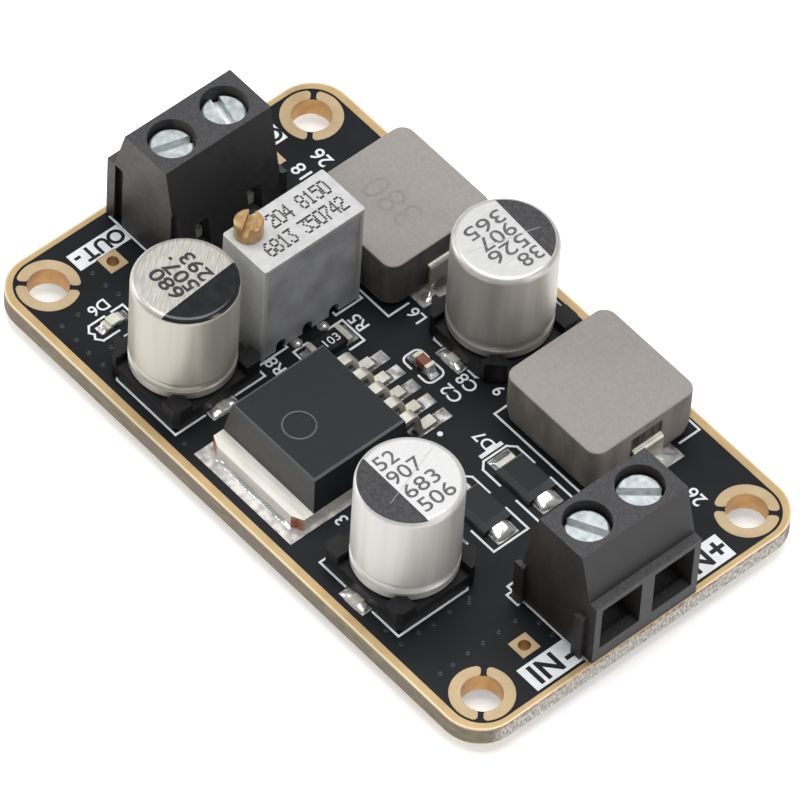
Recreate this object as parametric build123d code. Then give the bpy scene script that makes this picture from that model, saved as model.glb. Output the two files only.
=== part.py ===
from build123d import *
import math
import os

# A step-down converter module: a black circuit board with gold edging, a screw
# terminal block at each end, three can capacitors, two moulded inductors, a
# multi-turn trimmer and a five-lead regulator, all soldered down.
# X runs along the board towards the input end, Y across it, Z up. The origin is
# the centre of the four mounting holes on the board's underside. Millimetres.

# Circuit board
board_length = 53.8
board_width = 32.0
board_thickness = 1.6
board_corner_radius = 3.2
mounting_hole_radius = 1.55
plating_wall = 0.018
copper_thickness = 0.05
copper_gap = 0.15
border_end_width = 0.5
border_side_width = 0.7
border_gap = 0.2
ring_width = 0.85
ring_gap = 0.42
ring_end_radius = 0.3
tap_pad_side = 1.65
tap_hole_radius = 0.475
tap_inset = 4.35
tap_gap = 2.6
spot_radius = 0.45
spot_height = 0.32
spot_swell = 0.7
spot_inset = 0.2
board_top = board_thickness
seat = board_top + copper_thickness

# Solder
fillet_height = 0.45
fillet_bow = 1.5
pin_land_width = 0.45
joint_height = 0.95
joint_land_share = 0.8
joint_tip_share = 0.9
pin_tail = 1.2

# Screw terminal blocks. Depth is measured inwards from the wire entry face.
input_face_inset = 0.1
output_face_inset = 0.5
pole_pitch = 5.0
pole_count = 2
block_height = 10.4
entry_face_height = 6.25
ledge_depth = 0.75
crown_front = 1.85
crown_back = 6.4
block_base_depth = 8.5
screw_depth = 4.13
entry_floor = 1.3
entry_roof = 5.7
entry_wall = 0.9
cavity_floor = 1.0
well_shelf = 0.6
head_side_gap = 0.18
rib_width = 0.7
rib_reach = 0.45
rib_flare = 0.12
front_rib_depth = 1.3
front_rib_height = 4.45
rear_rib_depth = 7.55
rear_rib_height = 4.2
groove_clearance = 0.08
window_width = 1.25
window_floor = 1.6
window_roof = 4.25

# Clamp screw, rising clamp and contact of each pole. The slot angles are
# measured from X.
head_radius = 1.65
head_height = 1.57
head_lift = 0.03
head_chamfer = 0.15
driver_slot_width = 0.7
driver_slot_depth = 0.75
slot_angles = {"input": {"negative": 28, "positive": 50}, "output": {"negative": 73, "positive": -14}}
thread_radius = 1.25
running_clearance = 0.05
tip_gap = 0.05
clamp_width = 3.5
clamp_length = 3.2
clamp_wall = 0.5
clamp_nut = 0.7
clamp_side_gap = 0.15
clamp_front_gap = 0.28
clamp_back_gap = 0.17
clamp_floor_gap = 0.15
clamp_roof_gap = 0.05
grip_gap = 0.15
tongue_gap = 0.15
tongue_underside = 3.9
tongue_thickness = 0.5
tongue_front = 2.3
tongue_width = 2.2
plate_thickness = 0.6
plate_width = 3.0
plate_clearance = 0.05
latch_reach = 0.6
latch_low = 1.75
latch_top = 2.75
pin_width = 1.0
pin_hole_radius = 0.7

# Can capacitors
output_capacitor_x = -11.72
output_capacitor_y = -10.2
filter_capacitor_x = 0.05
filter_capacitor_y = 10.0
input_capacitor_x = 12.03
input_capacitor_y = -9.7
can_radius = 4.0
can_top = 10.45
can_edge_radius = 0.5
can_neck_radius = 3.78
can_neck_height = 2.75
can_neck_half = 0.45
can_foot_chamfer = 0.35
base_side = 8.3
base_chamfer = 1.2
base_corner_cut = 0.35
base_plinth = 1.3
base_post_height = 2.1
base_post_gap = 0.05
base_post_share = 0.62
base_stand_off = 0.1
lead_clearance = 0.05
cap_lead_width = 0.9
cap_lead_thickness = 0.25
cap_lead_overhang = 0.7
cap_lead_inner = 1.2
cap_land_width = 2.55
cap_land_length = 2.15
cap_land_margin = 0.2
cap_fillet_share = 0.6
mark_thickness = 0.03
output_mark_chord = 1.1
output_mark_wrap = 0.75
filter_mark_chord = 1.35
filter_mark_wrap = 0.35
input_mark_chord = 1.5
input_mark_wrap = 0.3

# Trimmer. Places are measured from the middle of its footprint.
trimmer_x = -10.85
trimmer_y = -0.7
trimmer_length = 9.53
trimmer_width = 4.75
trimmer_top = 10.4
trimmer_foot_gap = 0.1
trimmer_edge_radius = 0.2
trimmer_rim = 0.35
trimmer_cover_recess = 0.12
trimmer_pocket_depth = 2.4
trimmer_pin_pitch = 2.54
trimmer_pin_offset = -0.25
trimmer_pin_radius = 0.25
trimmer_pin_hole_radius = 0.4
trimmer_pin_bite = 0.08
trimmer_pin_grip = 0.9
notch_width = 0.9
notch_height = 1.1
adjuster_x = -1.25
adjuster_y = -3.25
adjuster_head_radius = 1.1
adjuster_head_height = 1.5
adjuster_chamfer = 0.12
adjuster_slot_width = 0.5
adjuster_slot_depth = 0.75
adjuster_slot_angle = -55
adjuster_neck_radius = 0.75
adjuster_neck_length = 1.3
worm_radius = 0.95
worm_length = 6.2
worm_end_gap = 0.1
seal_section = 0.5
seal_recess = 0.6
wheel_wall = 0.515
wheel_thickness = 1.1
wheel_teeth = 30
tooth_depth = 0.2
wheel_gap = 0.05
wheel_rim_gap = 0.1
wheel_centre_z = 5.7
wheel_hub_radius = 0.6
wiper_width = 0.5
wiper_length = 1.6
wiper_share = 0.6
element_thickness = 0.6
element_floor_gap = 0.3

# Regulator. The leads are measured from the body's back wall.
regulator_front = -12.13
regulator_length = 9.18
regulator_base_half_width = 4.95
regulator_top_half_width = 4.5
regulator_bevel = 0.2
regulator_bevel_drop = 0.12
regulator_front_draft = 0.35
regulator_back_draft = 0.25
regulator_height = 4.4
tab_thickness = 1.27
tab_overhang = 1.37
tab_length = 8.5
tab_corner_x = 0.9
tab_corner_y = 0.45
tab_land_margin = 1.05
tab_land_side = 0.35
tab_fillet_height = 0.5
regulator_lead_count = 5
regulator_lead_pitch = 1.7
regulator_lead_width = 0.85
regulator_lead_thickness = 0.5
regulator_lead_exit = 2.25
regulator_lead_bend = 0.45
regulator_lead_root = 0.6
regulator_shoulder = 1.55
regulator_heel = 2.1
regulator_toe = 3.63
toe_fillet_length = 0.6
toe_fillet_height = 0.4
ejector_radius = 1.2
ejector_depth = 0.06
ejector_inset = 2.79
lead_land_width = 1.05
lead_land_margin = 1.42

# Moulded inductors
inductor_y = 9.83
input_inductor_x = 10.93
output_inductor_x = -11.17
inductor_side = 10.0
inductor_height = 4.75
inductor_shoulder = 1.3
inductor_shoulder_step = 0.05
inductor_corner_radius = 1.6
inductor_foot_side = 9.5
inductor_foot_corner = 2.6
inductor_strap_width = 2.8
inductor_strap_thickness = 0.25
inductor_strap_reach = 0.42
inductor_strap_top = 2.75
inductor_strap_bend = 0.3
inductor_strap_root = 0.5
inductor_strap_under = 1.6
inductor_pocket_depth = 0.12
inductor_pocket_gap = 0.15
inductor_land_margin_x = 0.93
inductor_land_margin_y = 1.38
inductor_land_length = 2.75

# Rectifier diodes
diode_x = 11.7
first_diode_y = 2.2
second_diode_y = -2.1
diode_length = 3.7
diode_width = 2.6
diode_height = 1.0
diode_parting = 0.45
diode_top_length = 2.9
diode_top_width = 2.05
diode_lead_thickness = 0.25
diode_lead_width = 1.6
diode_lead_reach = 2.45
diode_lead_inner = 1.3
diode_land_margin = 0.6
diode_land_inner = 1.5
diode_land_width = 2.0

# Chip resistor, chip capacitor and indicator
resistor_x = -6.6
resistor_y = -0.58
resistor_length = 3.2
resistor_width = 1.6
resistor_height = 0.6
resistor_end = 0.45
chip_capacitor_x = -0.84
chip_capacitor_y = 3.5
chip_capacitor_length = 1.6
chip_capacitor_width = 0.85
chip_capacitor_height = 0.85
chip_capacitor_end = 0.32
indicator_x = -18.2
indicator_y = -11.3
indicator_length = 1.6
indicator_width = 0.85
indicator_base_height = 0.25
indicator_lens_height = 0.25
indicator_lens_corner = 0.1
indicator_end = 0.35
chip_wrap = 0.05
chip_land_extra = 0.55

# Print on the board: gaps are measured from the part that a line goes round
silk_thickness = 0.03
silk_line = 0.17
print_clearance = 0.05
print_gap = 0.1
print_land_gap = 0.2
capacitor_print_cut = 2.0
input_label_inset = 0.75
input_label_width = 2.3
input_label_length = 4.35
output_label_inset = 1.85
output_label_width = 1.7
output_label_length = 4.8
label_gap = 0.17
inductor_print_gap = 0.24
inductor_print_opening = 0.55
diode_print_gap_x = 0.23
diode_print_gap_y = 0.65
diode_print_cut = 0.55
diode_print_opening = 0.9
cathode_bar_gap = 0.42
cathode_bar_length = 2.15
trimmer_print_gap = 0.03
trimmer_print_end = 0.15
trimmer_print_hook = 0.3
trimmer_print_low = 2.3
trimmer_print_high = 2.4
chip_print_gap = 0.42
resistor_print_opening = 1.0
frame_gap_x = 0.275
frame_gap_y = 0.5
frame_radius = 0.6
frame_opening = 0.7
indicator_print_gap = 0.3
indicator_print_top = 0.6
indicator_print_low = 0.1
arrow_width = 0.35
arrow_notch = 0.25
block_print_gap = 0.05
block_print_rear = 0.4
block_tooth_gap = 0.47
block_print_start = 0.5
first_pin_dot_radius = 0.22
first_pin_dot_share = 0.68
first_pin_dot_y = 0.33


def span_box(x0, x1, y0, y1, z0, z1):
    """Box between three pairs of coordinates."""
    middle = Pos((x0 + x1) / 2, (y0 + y1) / 2, (z0 + z1) / 2)
    return middle * Box(abs(x1 - x0), abs(y1 - y0), abs(z1 - z0))


def span_rectangle(x0, x1, y0, y1):
    """Flat rectangle between two pairs of coordinates."""
    return Pos((x0 + x1) / 2, (y0 + y1) / 2) * Rectangle(abs(x1 - x0), abs(y1 - y0))


def upright(radius, z0, z1, x=0, y=0):
    """Vertical cylinder."""
    return Pos(x, y, (z0 + z1) / 2) * Cylinder(radius, z1 - z0)


def tube(outer, inner, z0, z1, x=0, y=0):
    """Vertical tube."""
    return upright(outer, z0, z1, x, y) - upright(inner, z0, z1, x, y)


def four_corners(x, y):
    """The four sign combinations of one place."""
    return [(sx * x, sy * y) for sx in (-1, 1) for sy in (-1, 1)]


def strip(route, bend, width, thickness):
    """Flat strip bent along a route of (x, z) points, centred on y = 0."""
    points = [(x, 0, z) for x, z in route]
    path = FilletPolyline(*points, radius=bend)
    section = Plane(origin=path @ 0, z_dir=path % 0, x_dir=(0, 1, 0)) * Rectangle(width, thickness)
    return sweep(section, path=path)


def save(node, *shapes):
    """Write one node from all solids of the given shapes."""
    solids = [solid for shape in shapes for solid in shape.solids()]
    export_step(Compound(solids), f"parts/{node}.step")


# Places that several pieces share
hole_x = board_length / 2 - border_end_width - border_gap - ring_width - mounting_hole_radius
hole_y = board_width / 2 - border_side_width - border_gap - ring_width - mounting_hole_radius
mounting_holes = four_corners(hole_x, hole_y)
pole_places = [(i - (pole_count - 1) / 2) * pole_pitch for i in range(pole_count)]
block_width = pole_count * pole_pitch
taps = four_corners(board_length / 2 - tap_inset, block_width / 2 + tap_gap)
cavity_back = screw_depth + clamp_length / 2 + clamp_back_gap
upper_cavity_front = screw_depth - clamp_length / 2 - clamp_front_gap
entry_width = clamp_width + 2 * clamp_side_gap
plate_front = cavity_back + plate_clearance
plate_back = plate_front + plate_thickness
plate_middle = plate_front + plate_thickness / 2
tongue_top = tongue_underside + tongue_thickness
clamp_floor = cavity_floor + clamp_floor_gap
clamp_top = tongue_top + tongue_gap + clamp_nut
clamp_travel = tongue_underside - grip_gap - clamp_floor - clamp_wall
cavity_roof = clamp_top + clamp_travel + clamp_roof_gap
well_floor = cavity_roof + well_shelf
well_radius = head_radius + head_side_gap
can_foot = base_plinth
cap_lead_reach = base_side / 2 + cap_lead_overhang
cap_land_outer = cap_lead_reach + cap_land_margin
trimmer_pins = [trimmer_pin_offset + k * trimmer_pin_pitch for k in (-1, 0, 1)]
trimmer_spots = [
    (trimmer_width / 2 + spot_inset, trimmer_pin_offset + k * trimmer_pin_pitch) for k in (-0.5, 0.5)
]
trimmer_place = Pos(trimmer_x, trimmer_y, seat)
wheel_low = adjuster_y + worm_radius + wheel_gap
wheel_radius = (trimmer_length / 2 - wheel_wall - wheel_rim_gap - wheel_low) / 2
wheel_x = adjuster_x
wheel_y = wheel_low + wheel_radius
pocket_x = trimmer_width / 2 - trimmer_pocket_depth
element_floor = notch_height + element_floor_gap
trimmer_pin_x = pocket_x + element_thickness + trimmer_pin_radius - trimmer_pin_bite
regulator_back = regulator_front + regulator_length
tab_front = regulator_front - tab_overhang
tab_back = tab_front + tab_length
tab_land_front = tab_front - tab_land_margin
regulator_toe_y = regulator_back + regulator_toe
regulator_leads_x = [
    (i - (regulator_lead_count - 1) / 2) * regulator_lead_pitch for i in range(regulator_lead_count)
]
inductor_strap_outer = inductor_side / 2 + inductor_strap_reach
inductor_land_outer = inductor_strap_outer + inductor_land_margin_x
diode_land_outer = diode_lead_reach + diode_land_margin
# Each block stands with its entry face outwards: face place and turn about Z
blocks = {
    "input": (board_length / 2 - input_face_inset, 0),
    "output": (output_face_inset - board_length / 2, 180),
}
# Each capacitor: middle x, middle y, turn about Z, chord of its mark, how far
# the mark runs down the wall, and the radius that its mark keeps to
capacitors = {
    "output": (
        output_capacitor_x, output_capacitor_y, 0, output_mark_chord, output_mark_wrap,
        can_radius + mark_thickness,
    ),
    "filter": (
        filter_capacitor_x, filter_capacitor_y, 90, filter_mark_chord, filter_mark_wrap,
        can_radius + mark_thickness,
    ),
    "input": (
        input_capacitor_x, input_capacitor_y, -90, input_mark_chord, input_mark_wrap,
        can_radius - can_edge_radius,
    ),
}
inductors = {"input": input_inductor_x, "output": output_inductor_x}
diodes = {"first": first_diode_y, "second": second_diode_y}


def block_place(name):
    face_x, turn = blocks[name]
    return Pos(face_x, 0, seat) * Rot(0, 0, turn)


def pin_places():
    """Board places of every through pin: x, y, hole radius."""
    places = []
    for face_x, turn in blocks.values():
        out = 1 if turn == 0 else -1
        for y in pole_places:
            places.append((face_x - out * plate_middle, out * y, pin_hole_radius))
    for y in trimmer_pins:
        places.append((trimmer_x + trimmer_pin_x, trimmer_y + y, trimmer_pin_hole_radius))
    return places


def circuit_board():
    outline = RectangleRounded(board_length, board_width, board_corner_radius)
    board = extrude(outline, board_thickness)
    for x, y in mounting_holes:
        board -= upright(mounting_hole_radius + plating_wall, 0, board_top, x, y)
    for x, y in taps:
        board -= upright(tap_hole_radius + plating_wall, 0, board_top, x, y)
    for x, y, radius in pin_places():
        board -= upright(radius + plating_wall, 0, board_top, x, y)
    return board


def plated_barrels():
    barrels = [
        tube(mounting_hole_radius + plating_wall, mounting_hole_radius, 0, board_top, x, y)
        for x, y in mounting_holes
    ]
    barrels += [
        tube(tap_hole_radius + plating_wall, tap_hole_radius, 0, board_top, x, y) for x, y in taps
    ]
    barrels += [tube(r + plating_wall, r, 0, board_top, x, y) for x, y, r in pin_places()]
    return barrels


def border_outline():
    """Band along the board's edge."""
    outer = RectangleRounded(board_length, board_width, board_corner_radius)
    inner_radius = board_corner_radius - (border_end_width + border_side_width) / 2
    inner = RectangleRounded(
        board_length - 2 * border_end_width, board_width - 2 * border_side_width, inner_radius
    )
    return outer - inner


def edge_border():
    """Gold band on both faces, with a gap kept round every land."""
    upper = border_outline()
    for land in land_outlines():
        upper -= offset(land, copper_gap)
    lower = Pos(0, 0, -copper_thickness) * border_outline()
    return [extrude(Pos(0, 0, board_top) * upper, copper_thickness), extrude(lower, copper_thickness)]


def mounting_rings():
    """Gold ring round each hole, split on the diagonal through its corner."""
    rings = []
    outer = mounting_hole_radius + ring_width
    for x, y in mounting_holes:
        diagonal = 45 if x * y > 0 else -45
        for side in (0, 180):
            half = Circle(outer) - Circle(mounting_hole_radius)
            window = Pos(0, outer + ring_gap / 2) * Rectangle(3 * outer, 2 * outer)
            half &= Rot(0, 0, diagonal + side) * window
            half = fillet(half.vertices(), ring_end_radius)
            for z in (board_top, -copper_thickness):
                rings.append(extrude(Pos(x, y, z) * half, copper_thickness))
    return rings


def tap_pads():
    pads = []
    for x, y in taps:
        flat = Rectangle(tap_pad_side, tap_pad_side) - Circle(tap_hole_radius)
        pads += [extrude(Pos(x, y, z) * flat, copper_thickness) for z in (board_top, -copper_thickness)]
    return pads


def chip_land(middle, along, length, width):
    """Two lands of a chip part whose length runs along X or Y."""
    inner = length / 2 - chip_land_extra
    outer = length / 2 + chip_land_extra
    lands = []
    for side in (-1, 1):
        if along == "x":
            flat = span_rectangle(side * inner, side * outer, -width / 2, width / 2)
        else:
            flat = span_rectangle(-width / 2, width / 2, side * inner, side * outer)
        lands.append(Pos(*middle) * flat)
    return lands


def land_outlines():
    """Every tinned land on the board's upper face."""
    lands = []
    for x, y, turn, *_ in capacitors.values():
        for side in (-1, 1):
            inner = cap_land_outer - cap_land_length
            flat = span_rectangle(
                side * inner, side * cap_land_outer, -cap_land_width / 2, cap_land_width / 2
            )
            lands.append(Pos(x, y) * Rot(0, 0, turn) * flat)
    half = inductor_strap_width / 2 + inductor_land_margin_y
    for x in inductors.values():
        for side in (-1, 1):
            lands.append(span_rectangle(
                x + side * (inductor_land_outer - inductor_land_length), x + side * inductor_land_outer,
                inductor_y - half, inductor_y + half,
            ))
    for y in diodes.values():
        for side in (-1, 1):
            lands.append(span_rectangle(
                diode_x + side * diode_land_inner, diode_x + side * diode_land_outer,
                y - diode_land_width / 2, y + diode_land_width / 2,
            ))
    half = regulator_base_half_width + tab_land_side
    lands.append(span_rectangle(-half, half, tab_land_front, tab_back))
    for x in regulator_leads_x:
        lands.append(span_rectangle(
            x - lead_land_width / 2, x + lead_land_width / 2, regulator_back + regulator_shoulder,
            regulator_toe_y + lead_land_margin,
        ))
    for x, y in trimmer_spots:
        lands.append(Pos(trimmer_x + x, trimmer_y + y) * Circle(spot_radius))
    lands += chip_land((resistor_x, resistor_y), "y", resistor_length, resistor_width)
    lands += chip_land(
        (chip_capacitor_x, chip_capacitor_y), "x", chip_capacitor_length, chip_capacitor_width
    )
    lands += chip_land((indicator_x, indicator_y), "y", indicator_length, indicator_width)
    return lands


def pin_lands():
    """Rings round the through pins on both faces."""
    rings = []
    for x, y, radius in pin_places():
        for low, high in ((-copper_thickness, 0), (board_top, seat)):
            rings.append(tube(radius + pin_land_width, radius, low, high, x, y))
    return rings


def solder_lands():
    flats = [extrude(Pos(0, 0, board_top) * flat, copper_thickness) for flat in land_outlines()]
    return flats + pin_lands()


def wedge(reach, width, height):
    """Solder fillet that climbs a wall at x = 0 and runs out to x = reach."""
    profile = Plane.XZ * make_face([
        Line((0, 0), (reach, 0)),
        RadiusArc((reach, 0), (0, height), fillet_bow * max(reach, height)),
        Line((0, height), (0, 0)),
    ])
    return extrude(profile, width / 2, both=True)


def wedge_pair(x, y, turn, wall, edge, width, height=fillet_height):
    """Fillets at both ends of a part: from its end wall to its land's edge."""
    fillets = []
    for extra in (0, 180):
        place = Pos(x, y, seat) * Rot(0, 0, turn + extra) * Pos(wall, 0, 0)
        fillets.append(place * wedge(edge - wall, width, height))
    return fillets


def through_joint(x, y, hole_radius, tail):
    """Solder that fills a plated hole and forms a cone round the pin's tail."""
    fill = upright(hole_radius, -copper_thickness, board_top, x, y)
    low = -copper_thickness - joint_height
    base_radius = hole_radius + joint_land_share * pin_land_width
    cone = Cone(hole_radius * joint_tip_share, base_radius, joint_height)
    cone = Pos(x, y, (low - copper_thickness) / 2) * cone
    return fill + cone - tail


def solder_spot(x, y):
    """Low dome of solder on a round land, clear of the trimmer's foot."""
    swell = (spot_radius * spot_swell, spot_height * spot_swell)
    dome = Plane.XZ * make_face([
        Line((0, 0), (spot_radius, 0)),
        ThreePointArc((spot_radius, 0), swell, (0, spot_height)),
        Line((0, spot_height), (0, 0)),
    ])
    dome = Pos(x, y, 0) * revolve(dome, Axis.Z)
    half = trimmer_width / 2 + lead_clearance
    return dome - span_box(-half, half, -trimmer_length, trimmer_length, 0, trimmer_top)


def solder_joints():
    """Fillets at the ends of every surface-mounted part, and the two spots."""
    joints = []
    for x, y, turn, *_ in capacitors.values():
        width = cap_land_width * cap_fillet_share
        joints += wedge_pair(x, y, turn, cap_lead_reach, cap_land_outer, width)
    for x in inductors.values():
        joints += wedge_pair(
            x, inductor_y, 0, inductor_strap_outer, inductor_land_outer, inductor_strap_width,
            2 * fillet_height,
        )
    for y in diodes.values():
        joints += wedge_pair(
            diode_x, y, 0, diode_lead_reach, diode_land_outer, diode_lead_width, diode_lead_thickness
        )
    joints += wedge_pair(
        resistor_x, resistor_y, 90, resistor_length / 2, resistor_length / 2 + chip_land_extra,
        resistor_width,
    )
    joints += wedge_pair(
        chip_capacitor_x, chip_capacitor_y, 0, chip_capacitor_length / 2,
        chip_capacitor_length / 2 + chip_land_extra, chip_capacitor_width,
    )
    joints += wedge_pair(
        indicator_x, indicator_y, 90, indicator_length / 2, indicator_length / 2 + chip_land_extra,
        indicator_width, indicator_base_height,
    )
    tab_fillet = wedge(tab_land_margin, 2 * regulator_base_half_width, tab_fillet_height)
    joints.append(Pos(0, tab_front, seat) * Rot(0, 0, -90) * tab_fillet)
    for x in regulator_leads_x:
        toe = wedge(toe_fillet_length, regulator_lead_width, toe_fillet_height)
        joints.append(Pos(x, regulator_toe_y, seat) * Rot(0, 0, 90) * toe)
    joints += [trimmer_place * solder_spot(x, y) for x, y in trimmer_spots]
    return joints


def pin_solder(tails):
    """The filled holes and cones of the through pins."""
    places = pin_places()
    return [through_joint(x, y, radius, tail) for (x, y, radius), tail in zip(places, tails)]


def silk_stroke(*points):
    """Printed line through the given points."""
    strokes = []
    for (x0, y0), (x1, y1) in zip(points, points[1:]):
        length = math.hypot(x1 - x0, y1 - y0)
        angle = math.degrees(math.atan2(y1 - y0, x1 - x0))
        place = Pos((x0 + x1) / 2, (y0 + y1) / 2) * Rot(0, 0, angle)
        strokes.append(place * Rectangle(length + silk_line, silk_line))
    return strokes


def silk_capacitor(x, y, turn):
    """Corner lines at the square side of a capacitor, and cut corners opposite."""
    half = base_side / 2 + print_gap
    gap = cap_land_width / 2 + print_land_gap
    cut = capacitor_print_cut
    strokes = []
    for side in (-1, 1):
        strokes += silk_stroke((half, side * gap), (half, side * half), (-half + cut, side * half))
        strokes += silk_stroke((-half + cut, side * half), (-half, side * (half - cut)))
        strokes += silk_stroke((-half, side * (half - cut)), (-half, side * gap))
    return [Pos(x, y) * Rot(0, 0, turn) * stroke for stroke in strokes]


def silk_inductor(x):
    half = inductor_side / 2 + inductor_print_gap
    gap = inductor_strap_width / 2 + inductor_land_margin_y + inductor_print_opening
    strokes = []
    for side in (-1, 1):
        strokes += silk_stroke(
            (-half, side * gap), (-half, side * half), (half, side * half), (half, side * gap)
        )
    return [Pos(x, inductor_y) * stroke for stroke in strokes]


def silk_diode(y):
    """Outline open over the leads, with a bar at the cathode end."""
    half_x = diode_land_outer + diode_print_gap_x
    half_y = diode_land_width / 2 + diode_print_gap_y
    cut = diode_print_cut
    opening = diode_print_opening
    strokes = []
    for side in (-1, 1):
        strokes += silk_stroke(
            (-half_x, 0), (-half_x, side * (half_y - cut)), (-half_x + cut, side * half_y),
            (-opening, side * half_y),
        )
        strokes += silk_stroke((opening, side * half_y), (half_x, side * half_y), (half_x, 0))
    bar = Pos(-half_x - cathode_bar_gap, 0) * Rectangle(2 * silk_line, cathode_bar_length)
    return [Pos(diode_x, y) * stroke for stroke in strokes + [bar]]


def silk_trimmer():
    """Line beside the cover, open in front of the two tinned spots."""
    x = trimmer_width / 2 + trimmer_print_gap
    hook = x - trimmer_print_hook
    end = trimmer_length / 2 + trimmer_print_end
    strokes = silk_stroke((hook, end), (x, end), (x, trimmer_print_high), (hook, trimmer_print_high))
    strokes += silk_stroke((hook, -trimmer_print_low), (x, -trimmer_print_low), (x, -end), (hook, -end))
    return [Pos(trimmer_x, trimmer_y) * stroke for stroke in strokes]


def silk_resistor():
    half_x = resistor_width / 2 + chip_print_gap
    half_y = resistor_length / 2 + chip_land_extra + print_land_gap
    opening = resistor_print_opening
    strokes = []
    for side in (-1, 1):
        strokes += silk_stroke(
            (-half_x, side * opening), (-half_x, side * half_y), (half_x, side * half_y),
            (half_x, side * opening),
        )
    return [Pos(resistor_x, resistor_y) * stroke for stroke in strokes]


def silk_chip_capacitor():
    """Rounded frame, open in the middle of its long sides."""
    width = chip_capacitor_length + 2 * chip_land_extra + 2 * frame_gap_x
    height = chip_capacitor_width + 2 * frame_gap_y
    frame = RectangleRounded(width, height, frame_radius)
    frame -= RectangleRounded(width - 2 * silk_line, height - 2 * silk_line, frame_radius - silk_line)
    frame -= Rectangle(frame_opening, 2 * height)
    return [Pos(chip_capacitor_x, chip_capacitor_y) * frame]


def silk_indicator():
    """Frame with an arrow end that shows the direction of current."""
    half = indicator_width / 2 + chip_print_gap
    high = indicator_length / 2 + chip_land_extra + indicator_print_gap
    low = -indicator_print_low
    shoulder = indicator_print_low - high
    tip = -high - indicator_print_gap
    strokes = silk_stroke((-half, indicator_print_top), (-half, high), (arrow_width, high))
    strokes += silk_stroke(
        (-half, low), (-half, shoulder), (-arrow_width, tip), (0, tip + arrow_notch),
        (arrow_width, tip), (half, shoulder), (half, low),
    )
    return [Pos(indicator_x, indicator_y) * stroke for stroke in strokes]


def silk_block(name):
    """Line round the sides and back of a terminal block, with a tooth for its rear rib."""
    face_x, turn = blocks[name]
    y = -block_width / 2 - block_print_gap
    rear = -block_base_depth - block_print_rear
    tooth_rear = -rear_rib_depth - rib_width / 2 - block_tooth_gap
    tooth_front = -rear_rib_depth + rib_width / 2
    step = y - rib_reach - print_gap
    start = -block_print_start
    strokes = silk_stroke(
        (start, -y), (rear, -y), (rear, y), (tooth_rear, y), (tooth_rear, step), (tooth_front, step),
        (tooth_front, y), (start, y),
    )
    return [Pos(face_x, 0) * Rot(0, 0, turn) * stroke for stroke in strokes]


def label_fields():
    """White fields beside the terminal blocks that carry the pole names."""
    near = block_width / 2 + label_gap
    input_x = board_length / 2 - input_label_inset
    output_x = output_label_inset - board_length / 2
    fields = []
    for side in (-1, 1):
        fields.append(span_rectangle(
            input_x - input_label_width, input_x, side * near, side * (near + input_label_length)
        ))
        fields.append(span_rectangle(
            output_x, output_x + output_label_width, side * near, side * (near + output_label_length)
        ))
    return fields


def silkscreen():
    """All print on the board, left off the lands and the gold."""
    flats = label_fields() + silk_trimmer() + silk_resistor() + silk_chip_capacitor()
    flats += silk_indicator()
    for x, y, turn, *_ in capacitors.values():
        flats += silk_capacitor(x, y, turn)
    for x in inductors.values():
        flats += silk_inductor(x)
    for y in diodes.values():
        flats += silk_diode(y)
    for name in blocks:
        flats += silk_block(name)
    dot_x = regulator_leads_x[-1] + regulator_lead_pitch * first_pin_dot_share
    flats.append(Pos(dot_x, first_pin_dot_y) * Circle(first_pin_dot_radius))
    ring_radius = mounting_hole_radius + ring_width + print_gap
    gold = [Pos(x, y) * Circle(ring_radius) for x, y in mounting_holes]
    tap_side = tap_pad_side + 2 * print_clearance
    gold += [Pos(x, y) * Rectangle(tap_side, tap_side) for x, y in taps]
    gold.append(border_outline())
    print_area = flats[0].fuse(*flats[1:]).cut(*land_outlines(), *gold)
    return [extrude(Pos(0, 0, board_top) * face, silk_thickness) for face in print_area.faces()]


def block_rib(depth, height, grow):
    """Dovetail rib on the outside of a block's end wall, or its groove when grown."""
    half = rib_width / 2 + grow
    reach = rib_reach + grow
    outline = make_face(Polyline(
        (-depth - half, 0), (-depth + half, 0), (-depth + half + rib_flare, -reach),
        (-depth - half - rib_flare, -reach), close=True,
    ))
    return extrude(outline, height)


def block_outline():
    return Plane.XZ * make_face(Polyline(
        (0, 0), (0, entry_face_height), (-ledge_depth, entry_face_height), (-crown_front, block_height),
        (-crown_back, block_height), (-block_base_depth, 0), close=True,
    ))


def block_housing():
    """Moulded housing: entries in front, screw wells on top, contact slots behind."""
    housing = extrude(block_outline(), block_width / 2, both=True)
    half_entry = entry_width / 2
    half_window = window_width / 2
    half_plate = plate_width / 2 + plate_clearance
    slot_back = plate_back + plate_clearance
    for y in pole_places:
        housing -= span_box(1, -entry_wall, y - half_entry, y + half_entry, entry_floor, entry_roof)
        housing -= span_box(
            -entry_wall, -cavity_back, y - half_entry, y + half_entry, cavity_floor, entry_roof
        )
        housing -= span_box(
            -upper_cavity_front, -cavity_back, y - half_entry, y + half_entry, entry_roof, cavity_roof
        )
        housing -= span_box(
            -cavity_back, -slot_back, y - half_plate, y + half_plate, 0, tongue_top + plate_clearance
        )
        housing -= span_box(
            -slot_back, -block_base_depth, y - half_window, y + half_window, window_floor, window_roof
        )
        housing -= upright(
            thread_radius + running_clearance, cavity_roof, well_floor, -screw_depth, y
        )
        housing -= upright(well_radius, well_floor, block_height, -screw_depth, y)
    for depth, height in ((front_rib_depth, front_rib_height), (rear_rib_depth, rear_rib_height)):
        housing += Pos(0, -block_width / 2, 0) * block_rib(depth, height, 0)
        groove = block_rib(depth, entry_face_height, groove_clearance)
        housing -= Pos(0, block_width / 2, 0) * groove
    return housing


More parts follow.
